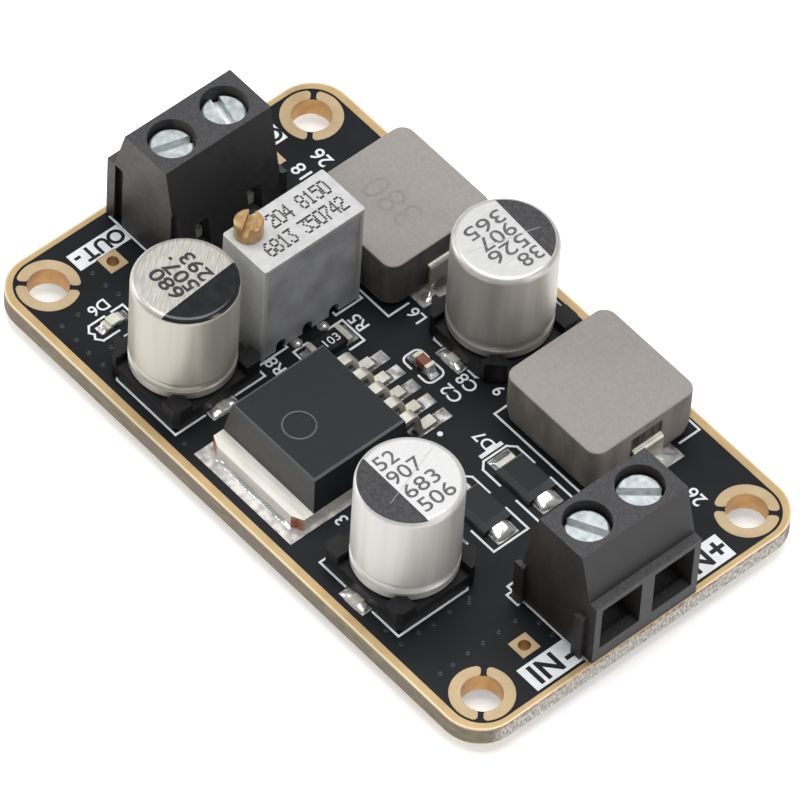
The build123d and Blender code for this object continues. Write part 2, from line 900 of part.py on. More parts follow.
def block_contact(y):
    """Sheet contact: tongue, upright plate, latch in the rear window and solder pin."""
    half = tongue_width / 2
    tongue = span_box(-tongue_front, -plate_front, y - half, y + half, tongue_underside, tongue_top)
    half = plate_width / 2
    plate = span_box(-plate_front, -plate_back, y - half, y + half, 0, tongue_top)
    half = window_width / 2 - plate_clearance
    latch = span_box(-plate_back, -plate_back - latch_reach, y - half, y + half, latch_low, latch_top)
    return tongue + plate + latch + contact_pin(y)


def contact_pin(y):
    half = pin_width / 2
    return span_box(-plate_front, -plate_back, y - half, y + half, -seat - pin_tail, 0)


def clamp_screw(y, angle):
    """Slotted screw that is held in its well and only turns."""
    low = well_floor + head_lift
    high = low + head_height
    head = upright(head_radius, low, high, -screw_depth, y)
    head = chamfer(head.edges().filter_by(GeomType.CIRCLE).sort_by(Axis.Z)[-1], head_chamfer)
    thread = upright(thread_radius, tongue_top + tip_gap, low, -screw_depth, y)
    slot = Pos(-screw_depth, y, high - driver_slot_depth / 2) * Rot(0, 0, angle) * Box(
        3 * head_radius, driver_slot_width, driver_slot_depth
    )
    return head + thread - slot


def clamp(y):
    """Rectangular clamp round the tongue that the turning screw pulls up."""
    half = clamp_length / 2
    loop = Pos(-screw_depth, y, 0) * span_box(
        -half, half, -clamp_width / 2, clamp_width / 2, clamp_floor, clamp_top
    )
    inner = clamp_width / 2 - clamp_wall
    loop -= Pos(-screw_depth, y, 0) * span_box(
        -half, half, -inner, inner, clamp_floor + clamp_wall, clamp_top - clamp_nut
    )
    loop -= upright(
        thread_radius + running_clearance, clamp_top - clamp_nut, clamp_top, -screw_depth, y
    )
    return loop


def can_profile(grow):
    """Half section of a can, from its foot to its top, grown outwards by grow."""
    radius = can_radius + grow
    top = can_top + grow
    edge = can_edge_radius + grow
    neck = can_neck_radius + grow
    neck_low = can_neck_height - can_neck_half
    neck_high = can_neck_height + can_neck_half
    line = [
        Line((0, can_foot), (neck, can_foot)),
        Line((neck, can_foot), (radius, can_foot + can_foot_chamfer)),
        Line((radius, can_foot + can_foot_chamfer), (radius, neck_low)),
        ThreePointArc((radius, neck_low), (neck, can_neck_height), (radius, neck_high)),
        Line((radius, neck_high), (radius, top - edge)),
        JernArc((radius, top - edge), (0, 1), edge, 90),
        Line((radius - edge, top), (0, top)),
        Line((0, top), (0, can_foot)),
    ]
    return Plane.XZ * make_face(line)


def capacitor_can():
    return revolve(can_profile(0), Axis.Z)


def capacitor_mark(chord, wrap, reach):
    """Printed half-moon on the top: a skin beyond the chord, down to the wrap."""
    skin = revolve(can_profile(mark_thickness), Axis.Z) - revolve(can_profile(0), Axis.Z)
    far = 2 * can_radius
    skin &= span_box(chord, far, -far, far, can_top - wrap, can_top + far)
    skin &= upright(reach, 0, can_top + far)
    return skin


def capacitor_base():
    """Square base with two cut corners, posts round the can and grooves for the leads."""
    half = base_side / 2
    outline = make_face(Polyline(
        (half, -half + base_corner_cut), (half, half - base_corner_cut),
        (half - base_corner_cut, half), (-half + base_chamfer, half), (-half, half - base_chamfer),
        (-half, -half + base_chamfer), (-half + base_chamfer, -half),
        (half - base_corner_cut, -half), close=True,
    ))
    plinth = extrude(Pos(0, 0, base_stand_off) * outline, base_plinth - base_stand_off)
    posts = extrude(Pos(0, 0, base_plinth) * outline, base_post_height - base_plinth)
    posts -= upright(can_radius + base_post_gap, base_plinth, base_post_height)
    for turn in (0, 90):
        posts -= Rot(0, 0, turn) * Box(3 * half, base_post_share * base_side, 4 * base_post_height)
    channel = Box(3 * half, cap_lead_width + 2 * lead_clearance, 2 * cap_lead_thickness)
    return plinth + posts - channel


def capacitor_leads():
    """Flat tinned leads that come out of the can's foot and bend out under the base."""
    leads = []
    for turn in (0, 180):
        strip_lead = span_box(
            cap_lead_inner, cap_lead_reach, -cap_lead_width / 2, cap_lead_width / 2,
            0, cap_lead_thickness,
        )
        riser = span_box(
            cap_lead_inner, cap_lead_inner + cap_lead_thickness, -cap_lead_width / 2, cap_lead_width / 2,
            0, can_foot,
        )
        leads.append(Rot(0, 0, turn) * (strip_lead + riser))
    return leads


def capacitor_base_bored():
    """Base with the slots that the leads' risers pass through."""
    base = capacitor_base()
    inner = cap_lead_inner - lead_clearance
    outer = cap_lead_inner + cap_lead_thickness + lead_clearance
    half = cap_lead_width / 2 + lead_clearance
    for turn in (0, 180):
        base -= Rot(0, 0, turn) * span_box(inner, outer, -half, half, 0, base_plinth)
    return base


def wheel_room_span():
    """X range of the room that the wheel turns in."""
    half = wheel_thickness / 2 + wheel_gap
    return wheel_x - half, pocket_x


def adjuster_bore():
    place = Pos(adjuster_x, adjuster_y, 0)
    bore = upright(adjuster_neck_radius + running_clearance, trimmer_top - seal_recess, trimmer_top)
    seal_low = trimmer_top - seal_recess - seal_section
    bore += upright(adjuster_neck_radius + seal_section, seal_low, trimmer_top - seal_recess)
    worm_high = trimmer_top - adjuster_neck_length
    worm_low = worm_high - worm_length - worm_end_gap
    bore += upright(worm_radius + running_clearance, worm_low, seal_low)
    return place * bore


def trimmer_housing():
    half_x = trimmer_width / 2
    half_y = trimmer_length / 2
    shell = span_box(-half_x, half_x, -half_y, half_y, trimmer_foot_gap, trimmer_top)
    shell = fillet(shell.edges().filter_by(Axis.Z), trimmer_edge_radius)
    shell -= span_box(
        pocket_x, half_x, -half_y + trimmer_rim, half_y - trimmer_rim,
        trimmer_foot_gap, trimmer_top - trimmer_rim,
    )
    low, high = wheel_room_span()
    room = Pos((low + high) / 2, wheel_y, wheel_centre_z) * Rot(0, 90, 0)
    shell -= room * Cylinder(wheel_radius + wheel_rim_gap, high - low)
    return shell - adjuster_bore()


def trimmer_element():
    """Ceramic plate with the resistive track, grooved for the pins behind it."""
    half_y = trimmer_length / 2 - trimmer_rim
    element = span_box(
        pocket_x, pocket_x + element_thickness, -half_y, half_y, element_floor, trimmer_top - trimmer_rim
    )
    for y in trimmer_pins:
        element -= trimmer_pin(y)
    return element


def trimmer_cover():
    """Potting that closes the housing's open side, notched over the three pins."""
    half_x = trimmer_width / 2
    half_y = trimmer_length / 2 - trimmer_rim
    cover = span_box(
        pocket_x, half_x - trimmer_cover_recess, -half_y, half_y,
        trimmer_foot_gap, trimmer_top - trimmer_rim,
    )
    cover -= trimmer_element()
    spring = notch_height - notch_width / 2
    half = notch_width / 2
    arch = make_face([
        Line((-half, 0), (half, 0)), Line((half, 0), (half, spring)),
        ThreePointArc((half, spring), (0, notch_height), (-half, spring)),
        Line((-half, spring), (-half, 0)),
    ])
    notch = Pos(pocket_x, 0, 0) * extrude(Plane.YZ * arch, half_x - pocket_x)
    for y in trimmer_pins:
        cover -= Pos(0, y, 0) * notch
        cover -= trimmer_pin(y)
    return cover


def trimmer_pin(y):
    high = element_floor + trimmer_pin_grip
    return upright(trimmer_pin_radius, -seat - pin_tail, high, trimmer_pin_x, y)


def trimmer_screw():
    """Brass adjusting screw: slotted head, neck, and the worm in its bore."""
    high = trimmer_top + adjuster_head_height
    head = upright(adjuster_head_radius, trimmer_top + head_lift, high)
    head = chamfer(head.edges().filter_by(GeomType.CIRCLE).sort_by(Axis.Z)[-1], adjuster_chamfer)
    neck_low = trimmer_top - adjuster_neck_length
    neck = upright(adjuster_neck_radius, neck_low, trimmer_top + head_lift)
    worm = upright(worm_radius, neck_low - worm_length, neck_low)
    slot = Pos(0, 0, high - adjuster_slot_depth / 2) * Rot(0, 0, adjuster_slot_angle) * Box(
        3 * adjuster_head_radius, adjuster_slot_width, adjuster_slot_depth
    )
    return Pos(adjuster_x, adjuster_y, 0) * (head + neck + worm - slot)


def trimmer_seal():
    """Rubber ring round the screw's neck."""
    middle = trimmer_top - seal_recess - seal_section / 2
    inner = adjuster_neck_radius + running_clearance / 2
    outer = adjuster_neck_radius + seal_section
    ring = tube(outer, inner, middle - seal_section / 2, middle + seal_section / 2)
    return Pos(adjuster_x, adjuster_y, 0) * ring


def trimmer_wheel():
    """Worm wheel that carries the wiper: toothed rim, hub and two contact fingers."""
    points = []
    for i in range(2 * wheel_teeth):
        radius = wheel_radius - (i % 2) * tooth_depth
        angle = math.pi * i / wheel_teeth
        points.append((radius * math.cos(angle), radius * math.sin(angle)))
    rim = extrude(make_face(Polyline(*points, close=True)), wheel_thickness / 2, both=True)
    wiper_reach = pocket_x - wheel_x - wheel_thickness / 2 - wheel_gap
    wiper = Pos(0, wheel_radius * wiper_share, wheel_thickness / 2 + wiper_reach / 2)
    fingers = wiper * Box(wiper_width, wiper_length, wiper_reach)
    hub = Pos(0, 0, wheel_thickness / 2 + wiper_reach / 2) * Cylinder(wheel_hub_radius, wiper_reach)
    place = Pos(wheel_x, wheel_y, wheel_centre_z) * Rot(0, 90, 0)
    return place * (rim + fingers + hub)


def regulator_tab():
    """Tinned copper heat tab with clipped outer corners."""
    half = regulator_base_half_width
    outline = make_face(Polyline(
        (-half, tab_back), (-half, tab_front + tab_corner_y), (-half + tab_corner_x, tab_front),
        (half - tab_corner_x, tab_front), (half, tab_front + tab_corner_y), (half, tab_back), close=True,
    ))
    return extrude(Pos(0, 0, seat) * outline, tab_thickness)


def regulator_section(z, half, front, back):
    return Pos(0, 0, z) * span_rectangle(-half, half, front, back)


def regulator_lead(x):
    """Gull-wing lead: shoulder out of the body, heel down, foot on its land."""
    half = regulator_lead_thickness / 2
    exit_z = regulator_lead_exit + half
    route = [
        (regulator_back - regulator_lead_root, exit_z), (regulator_back + regulator_shoulder, exit_z),
        (regulator_back + regulator_heel, half), (regulator_toe_y, half),
    ]
    lead = strip(route, regulator_lead_bend, regulator_lead_width, regulator_lead_thickness)
    return Pos(x, 0, seat) * Rot(0, 0, 90) * lead


def regulator_body():
    """Moulded body: straight foot round the tab, drafted walls and a bevelled top."""
    half = regulator_base_half_width
    foot = extrude(regulator_section(seat, half, regulator_front, regulator_back), tab_thickness)
    bevel_z = regulator_height - regulator_bevel_drop
    front = regulator_front + regulator_front_draft
    back = regulator_back - regulator_back_draft
    waist = regulator_section(seat + tab_thickness, half, regulator_front, regulator_back)
    crown = regulator_section(seat + bevel_z, regulator_top_half_width, front, back)
    top = regulator_section(
        seat + regulator_height, regulator_top_half_width - regulator_bevel,
        front + regulator_bevel / 2, back - regulator_bevel / 2,
    )
    body = foot + loft([waist, crown]) + loft([crown, top])
    mark_low = seat + regulator_height - ejector_depth
    mark_y = regulator_front + ejector_inset
    body -= upright(ejector_radius, mark_low, seat + regulator_height, 0, mark_y)
    body -= regulator_tab()
    for x in regulator_leads_x:
        body -= regulator_lead(x)
    return body


def inductor_body():
    """Pressed powder block on a narrower foot, with a pocket behind each strap."""
    square = RectangleRounded(inductor_side, inductor_side, inductor_corner_radius)
    head = extrude(Pos(0, 0, inductor_shoulder) * square, inductor_height - inductor_shoulder)
    waist_side = inductor_side - 2 * inductor_shoulder_step
    waist = Pos(0, 0, inductor_shoulder) * RectangleRounded(waist_side, waist_side, inductor_foot_corner)
    foot = RectangleRounded(inductor_foot_side, inductor_foot_side, inductor_foot_corner)
    body = head + loft([Pos(0, 0, inductor_strap_thickness) * foot, waist])
    inner = inductor_side / 2 - inductor_pocket_depth
    half = inductor_strap_width / 2 + inductor_pocket_gap
    pocket_top = inductor_strap_top + inductor_pocket_gap
    for turn, strap in zip((0, 180), inductor_straps()):
        body -= Rot(0, 0, turn) * span_box(inner, inductor_side, -half, half, 0, pocket_top)
        body -= strap
    return body


def inductor_straps():
    """Tinned straps: out of each end wall, down in front of it and under the foot."""
    half = inductor_strap_thickness / 2
    high = inductor_strap_top - half
    outer = inductor_strap_outer - half
    route = [
        (inductor_side / 2 - inductor_strap_root, high), (outer, high), (outer, half),
        (inductor_side / 2 - inductor_strap_under, half),
    ]
    strap = strip(route, inductor_strap_bend, inductor_strap_width, inductor_strap_thickness)
    return [Rot(0, 0, turn) * strap for turn in (0, 180)]


def diode_body():
    """Flat moulded body with sloping walls above and below its parting line."""
    middle = Rectangle(diode_length, diode_width)
    top = Rectangle(diode_top_length, diode_top_width)
    upper = loft([Pos(0, 0, diode_parting) * middle, Pos(0, 0, diode_height) * top])
    lower = extrude(middle, diode_parting)
    body = upper + lower
    for lead in diode_leads():
        body -= lead
    return body


def diode_leads():
    half = diode_lead_width / 2
    leads = []
    for turn in (0, 180):
        lead = span_box(diode_lead_inner, diode_lead_reach, -half, half, 0, diode_lead_thickness)
        leads.append(Rot(0, 0, turn) * lead)
    return leads


def chip_core(length, width, height):
    """Ceramic core of a chip part that lies along X."""
    return span_box(
        -length / 2 + chip_wrap, length / 2 - chip_wrap, -width / 2 + chip_wrap, width / 2 - chip_wrap,
        chip_wrap, height - chip_wrap,
    )


def chip_ends(length, width, height, end):
    """Tinned caps wrapped round both ends of a chip part."""
    ends = []
    for turn in (0, 180):
        block = span_box(length / 2 - end, length / 2, -width / 2, width / 2, 0, height)
        ends.append(Rot(0, 0, turn) * block - chip_core(length, width, height))
    return ends


def build_blocks():
    """Write both terminal blocks and return their pins for the solder joints."""
    tails = []
    for name in blocks:
        place = block_place(name)
        save(f"{name}_terminal_housing", place * block_housing())
        save(f"{name}_terminal_contacts", *[place * block_contact(y) for y in pole_places])
        out = 1 if blocks[name][1] == 0 else -1
        for y in pole_places:
            pole = "positive" if out * y > 0 else "negative"
            save(f"{name}_screw_{pole}", place * clamp_screw(y, slot_angles[name][pole]))
            save(f"{name}_clamp_{pole}", place * clamp(y))
            tails.append(place * contact_pin(y))
    return tails


def build_capacitors():
    for name, (x, y, turn, chord, wrap, reach) in capacitors.items():
        place = Pos(x, y, seat) * Rot(0, 0, turn)
        save(f"{name}_capacitor_can", place * capacitor_can())
        save(f"{name}_capacitor_mark", place * capacitor_mark(chord, wrap, reach))
        save(f"{name}_capacitor_base", place * capacitor_base_bored())
        save(f"{name}_capacitor_leads", *[place * lead for lead in capacitor_leads()])


def build_trimmer():
    """Write the trimmer and return its pins for the solder joints."""
    place = trimmer_place
    save("trimmer_housing", place * trimmer_housing())
    save("trimmer_cover", place * trimmer_cover())
    save("trimmer_element", place * trimmer_element())
    save("trimmer_screw", place * trimmer_screw())
    save("trimmer_seal", place * trimmer_seal())
    save("trimmer_wheel", place * trimmer_wheel())
    pins = [place * trimmer_pin(y) for y in trimmer_pins]
    save("trimmer_pins", *pins)
    return pins


def build_small_parts():
    for name, x in inductors.items():
        place = Pos(x, inductor_y, seat)
        save(f"{name}_inductor_body", place * inductor_body())
        save(f"{name}_inductor_straps", *[place * strap for strap in inductor_straps()])
    for name, y in diodes.items():
        place = Pos(diode_x, y, seat)
        save(f"{name}_diode_body", place * diode_body())
        save(f"{name}_diode_leads", *[place * lead for lead in diode_leads()])
    place = Pos(resistor_x, resistor_y, seat) * Rot(0, 0, 90)
    size = (resistor_length, resistor_width, resistor_height)
    save("resistor_body", place * chip_core(*size))
    save("resistor_ends", *[place * end for end in chip_ends(*size, resistor_end)])
    place = Pos(chip_capacitor_x, chip_capacitor_y, seat)
    size = (chip_capacitor_length, chip_capacitor_width, chip_capacitor_height)
    save("chip_capacitor_body", place * chip_core(*size))
    save("chip_capacitor_ends", *[place * end for end in chip_ends(*size, chip_capacitor_end)])
    place = Pos(indicator_x, indicator_y, seat) * Rot(0, 0, 90)
    size = (indicator_length, indicator_width, indicator_base_height)
    save("indicator_base", place * chip_core(*size))
    save("indicator_ends", *[place * end for end in chip_ends(*size, indicator_end)])
    lens_length = indicator_length - 2 * indicator_end
    lens = RectangleRounded(lens_length, indicator_width, indicator_lens_corner)
    lens = extrude(Pos(0, 0, indicator_base_height - chip_wrap) * lens, indicator_lens_height)
    save("indicator_lens", place * lens)


os.makedirs("parts", exist_ok=True)
save("circuit_board", circuit_board())
save("plated_barrels", *plated_barrels())
save("edge_border", *edge_border())
save("mounting_rings", *mounting_rings())
save("tap_pads", *tap_pads())
save("solder_lands", *solder_lands())
save("silkscreen", *silkscreen())
save("regulator_body", regulator_body())
save("regulator_tab", regulator_tab())
save("regulator_leads", *[regulator_lead(x) for x in regulator_leads_x])
build_capacitors()
build_small_parts()
pin_tails = build_blocks() + build_trimmer()
save("solder_joints", *solder_joints())
save("pin_solder", *pin_solder(pin_tails))
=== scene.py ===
import bpy
import math
import numpy as np
from mathutils import Matrix, Vector


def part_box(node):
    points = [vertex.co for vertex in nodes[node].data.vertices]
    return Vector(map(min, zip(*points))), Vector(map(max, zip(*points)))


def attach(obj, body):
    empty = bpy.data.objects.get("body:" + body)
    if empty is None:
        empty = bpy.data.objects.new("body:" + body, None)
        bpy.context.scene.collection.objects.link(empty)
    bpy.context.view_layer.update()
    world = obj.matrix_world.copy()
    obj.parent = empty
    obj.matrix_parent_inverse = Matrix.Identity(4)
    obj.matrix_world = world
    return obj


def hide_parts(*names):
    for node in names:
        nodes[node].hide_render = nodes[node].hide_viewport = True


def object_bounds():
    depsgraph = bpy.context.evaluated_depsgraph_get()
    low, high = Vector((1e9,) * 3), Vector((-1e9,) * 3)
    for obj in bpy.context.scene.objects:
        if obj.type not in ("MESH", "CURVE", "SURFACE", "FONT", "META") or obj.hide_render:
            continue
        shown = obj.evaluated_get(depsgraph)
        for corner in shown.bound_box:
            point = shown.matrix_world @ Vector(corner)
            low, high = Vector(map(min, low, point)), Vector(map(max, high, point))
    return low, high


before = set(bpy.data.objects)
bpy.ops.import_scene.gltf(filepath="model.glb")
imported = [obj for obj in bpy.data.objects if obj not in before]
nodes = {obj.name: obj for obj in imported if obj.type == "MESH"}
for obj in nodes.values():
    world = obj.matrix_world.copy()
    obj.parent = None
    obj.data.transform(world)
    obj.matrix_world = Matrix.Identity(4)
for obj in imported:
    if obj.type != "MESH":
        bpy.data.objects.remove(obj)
cad_low, cad_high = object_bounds()

# Camera. It looks down on the board from beyond its near long edge and its
# input end, with a slight roll, through a long lens.
MM = 0.001
board_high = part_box("circuit_board")[1]
board_top = board_high.z / MM
view_azimuth = math.radians(45.614)
view_elevation = math.radians(51.963)
view_roll = math.radians(3.912)
view_distance = 661.74 * MM
view_target = Vector((0.388, 0.151, board_top)) * MM
view_lens = 412.35
sensor_width = 36.0

back = Vector((
    math.sin(view_azimuth) * math.cos(view_elevation),
    -math.cos(view_azimuth) * math.cos(view_elevation),
    math.sin(view_elevation),
))
level_right = Vector((math.cos(view_azimuth), math.sin(view_azimuth), 0))
level_up = back.cross(level_right)
camera_right = level_right * math.cos(view_roll) + level_up * math.sin(view_roll)
camera_up = level_up * math.cos(view_roll) - level_right * math.sin(view_roll)
camera_data = bpy.data.cameras.new("camera")
camera_data.lens = view_lens
camera_data.sensor_width = sensor_width
camera_data.clip_start = 0.05
camera_data.clip_end = 10
camera = bpy.data.objects.new("camera", camera_data)
bpy.context.scene.collection.objects.link(camera)
camera.matrix_world = Matrix.Translation(view_target + back * view_distance) @ Matrix((
    (camera_right.x, camera_up.x, back.x, 0),
    (camera_right.y, camera_up.y, back.y, 0),
    (camera_right.z, camera_up.z, back.z, 0),
    (0, 0, 0, 1),
))
bpy.context.scene.camera = camera
bpy.context.scene.view_settings.view_transform = "Standard"


# Studio. A white sweep that the module lies on, a large soft lamp overhead and
# two tall strips that draw the streaks down the walls of the cans.
def paint(red, green, blue):
    """Screen colour from 0 to 255 as linear light, with full alpha."""
    share = np.array((red, green, blue)) / 255
    linear = np.where(share > 0.04045, ((share + 0.055) / 1.055) ** 2.4, share / 12.92)
    return (*linear.tolist(), 1.0)


def surface_piece(name, points, faces):
    """Mesh object from points (n, 3) in millimetres and the faces between them."""
    mesh = bpy.data.meshes.new(name)
    mesh.from_pydata((np.asarray(points) * MM).tolist(), [], [list(face) for face in faces])
    mesh.update()
    piece = bpy.data.objects.new(name, mesh)
    bpy.context.scene.collection.objects.link(piece)
    return piece


def worked(tree, operation, *values, vector=False):
    """Result of one Math node on sockets and numbers, or of one VectorMath node on vectors."""
    node = tree.nodes.new("ShaderNodeVectorMath" if vector else "ShaderNodeMath")
    node.operation = operation
    for socket, value in zip(node.inputs, values):
        if isinstance(value, bpy.types.NodeSocket):
            tree.links.new(value, socket)
        else:
            socket.default_value = value
    return node.outputs["Vector" if vector and operation != "LENGTH" else "Value"]


def sweep_paint(shade, lift):
    """Diffuse floor that keeps shadows, lifted towards white for the rays that see it.

    Camera, glossy and clear rays add lift times white to the diffuse shade.
    """
    material = bpy.data.materials.new("sweep_paint")
    material.use_nodes = True
    tree = material.node_tree
    tree.nodes.clear()
    out = tree.nodes.new("ShaderNodeOutputMaterial")
    diffuse = tree.nodes.new("ShaderNodeBsdfDiffuse")
    diffuse.inputs["Color"].default_value = shade
    path = tree.nodes.new("ShaderNodeLightPath")
    seen = path.outputs["Is Camera Ray"]
    for ray in ("Is Glossy Ray", "Is Transmission Ray"):
        seen = worked(tree, "MAXIMUM", seen, path.outputs[ray])
    glow = tree.nodes.new("ShaderNodeEmission")
    tree.links.new(worked(tree, "MULTIPLY", seen, lift), glow.inputs["Strength"])
    both = tree.nodes.new("ShaderNodeAddShader")
    tree.links.new(diffuse.outputs["BSDF"], both.inputs[0])
    tree.links.new(glow.outputs["Emission"], both.inputs[1])
    tree.links.new(both.outputs["Shader"], out.inputs["Surface"])
    return material


floor_reach = 6000
floor_z = cad_low.z / MM
floor = surface_piece(
    "floor",
    [(x * floor_reach, y * floor_reach, floor_z) for x, y in ((-1, -1), (1, -1), (1, 1), (-1, 1))],
    [(0, 1, 2, 3)],
)
floor.data.materials.append(sweep_paint(shade=paint(250, 250, 250), lift=0.4))


def lamp(name, place, width, height, power):
    """Soft rectangular lamp, in millimetres and watts, that faces the board."""
    data = bpy.data.lights.new(name, "AREA")
    data.shape = "RECTANGLE"
    data.size = width * MM
    data.size_y = height * MM
    data.energy = power
    light = bpy.data.objects.new(name, data)
    light.location = Vector(place) * MM
    light.rotation_euler = (-light.location).to_track_quat("-Z", "Y").to_euler()
    bpy.context.scene.collection.objects.link(light)


lamp("overhead", place=(-60, 60, 640), width=480, height=480, power=3.3)
lamp("left", place=(-560, -260, 300), width=260, height=420, power=1.5)
lamp("right", place=(520, 160, 260), width=140, height=380, power=0.7)
world = bpy.data.worlds.new("studio")
world.use_nodes = True
room = world.node_tree.nodes["Background"]
room.inputs["Color"].default_value = (1, 1, 1, 1)
room.inputs["Strength"].default_value = 0.28
bpy.context.scene.world = world


# Circuit board. Glass fibre laminate with a black solder mask on both faces,
# cut to shape with a router, which leaves the fibre ends bare at the edge.
def grain_group():
    """Node group: two octaves of noise on the object's own coordinates.

    Mask is broad noise with its contrast raised about the middle, Fine is
    noise eight times finer. Both run from 0 to 1. Turn swings the pattern
    about the upright axis before it is stretched.
    """
    group = bpy.data.node_groups.new("grain", "ShaderNodeTree")
    for name, kind in (
        ("Scale", "NodeSocketFloat"), ("Stretch", "NodeSocketVector"), ("Turn", "NodeSocketFloat"),
        ("Contrast", "NodeSocketFloat"),
    ):
        group.interface.new_socket(name=name, in_out="INPUT", socket_type=kind)
    for name in ("Mask", "Fine"):
        group.interface.new_socket(name=name, in_out="OUTPUT", socket_type="NodeSocketFloat")
    inside = group.nodes.new("NodeGroupInput")
    outside = group.nodes.new("NodeGroupOutput")
    place = group.nodes.new("ShaderNodeTexCoord")
    swing = group.nodes.new("ShaderNodeVectorRotate")
    swing.rotation_type = "Z_AXIS"
    group.links.new(place.outputs["Object"], swing.inputs["Vector"])
    group.links.new(inside.outputs["Turn"], swing.inputs["Angle"])
    stretched = worked(group, "MULTIPLY", swing.outputs["Vector"], inside.outputs["Stretch"], vector=True)
    finer = worked(group, "MULTIPLY", inside.outputs["Scale"], 8)
    noises = []
    for scale, detail in ((inside.outputs["Scale"], 4), (finer, 2)):
        noise = group.nodes.new("ShaderNodeTexNoise")
        noise.inputs["Detail"].default_value = detail
        group.links.new(stretched, noise.inputs["Vector"])
        group.links.new(scale, noise.inputs["Scale"])
        noises.append(noise.outputs["Fac"])
    broad, fine = noises
    centred = worked(group, "SUBTRACT", broad, 0.5)
    raised = worked(group, "MULTIPLY_ADD", centred, inside.outputs["Contrast"], 0.5)
    raised.node.use_clamp = True
    group.links.new(raised, outside.inputs["Mask"])
    group.links.new(fine, outside.inputs["Fine"])
    return group


grain = grain_group()


def placed(tree, scale, stretch=(1, 1, 1), contrast=2.5, turn=0):
    """The grain group put into a material's tree, scale in grains per millimetre."""
    node = tree.nodes.new("ShaderNodeGroup")
    node.node_tree = grain
    node.inputs["Scale"].default_value = scale / MM
    node.inputs["Stretch"].default_value = stretch
    node.inputs["Contrast"].default_value = contrast
    node.inputs["Turn"].default_value = math.radians(turn)
    return node


def blended(tree, mask, low, high, kind="RGBA"):
    """Mix of two values or sockets by a mask socket. kind is RGBA for colours, VALUE for numbers."""
    mix = tree.nodes.new("ShaderNodeMix")
    mix.data_type = "RGBA" if kind == "RGBA" else "FLOAT"
    tree.links.new(mask, mix.inputs["Factor"])
    for name, value in (("A", low), ("B", high)):
        socket = next(s for s in mix.inputs if s.name == name and s.type == kind)
        if isinstance(value, bpy.types.NodeSocket):
            tree.links.new(value, socket)
        else:
            socket.default_value = value
    return next(s for s in mix.outputs if s.type == kind)


def ranged(tree, value, low, high, start=0.0, end=1.0):
    """Value that runs from low to high while the given socket runs from start to end."""
    node = tree.nodes.new("ShaderNodeMapRange")
    node.inputs["From Min"].default_value = start
    node.inputs["From Max"].default_value = end
    node.inputs["To Min"].default_value = low
    node.inputs["To Max"].default_value = high
    tree.links.new(value, node.inputs["Value"])
    return node.outputs["Result"]


def axis_value(tree, source, axis):
    """One signed coordinate of the object-space Normal or of the Object place."""
    place = tree.nodes.new("ShaderNodeTexCoord")
    axes = tree.nodes.new("ShaderNodeSeparateXYZ")
    tree.links.new(place.outputs[source], axes.inputs["Vector"])
    return axes.outputs[axis]


def axis_size(tree, source, axis):
    """The same coordinate without its sign."""
    return worked(tree, "ABSOLUTE", axis_value(tree, source, axis))


def source_of(material, name):
    """The socket that feeds one input of a material's shader."""
    shader = material.node_tree.nodes["Principled BSDF"]
    return shader.inputs[name].links[0].from_socket


def recolour(material, mask, colour):
    """Lay a colour or colour socket over the base colour where the mask is high."""
    tree = material.node_tree
    shader = tree.nodes["Principled BSDF"]
    laid = blended(tree, mask, source_of(material, "Base Color"), colour)
    tree.links.new(laid, shader.inputs["Base Color"])


def finish(name, low, high, rough, scale, bump=0.0, depth=0.02, metal=0.0, stretch=(1, 1, 1),
           contrast=2.5, turn=0, shine=0.5):
    """Material whose colour and roughness run between two values with the grain.

    scale is grains per millimetre, depth the bump's height in millimetres,
    shine the share of light that the bare surface mirrors.
    """
    material = bpy.data.materials.new(name)
    material.use_nodes = True
    tree = material.node_tree
    shader = tree.nodes["Principled BSDF"]
    mask = placed(tree, scale, stretch, contrast, turn)
    tree.links.new(blended(tree, mask.outputs["Mask"], low, high), shader.inputs["Base Color"])
    tree.links.new(ranged(tree, mask.outputs["Mask"], *rough), shader.inputs["Roughness"])
    shader.inputs["Metallic"].default_value = metal
    shader.inputs["Specular IOR Level"].default_value = shine
    if bump:
        relief = tree.nodes.new("ShaderNodeBump")
        relief.inputs["Strength"].default_value = bump
        relief.inputs["Distance"].default_value = depth * MM
        tree.links.new(mask.outputs["Fine"], relief.inputs["Height"])
        tree.links.new(relief.outputs["Normal"], shader.inputs["Normal"])
    return material


def dress(material, *names):
    """Give CAD nodes a finished material in place of their plain one."""
    for name in names:
        for slot in nodes[name].material_slots:
            slot.material = material


pale_line = (0.14, 0.10)
copper_band = (0.34, 0.24)
cut_roughness = 0.75


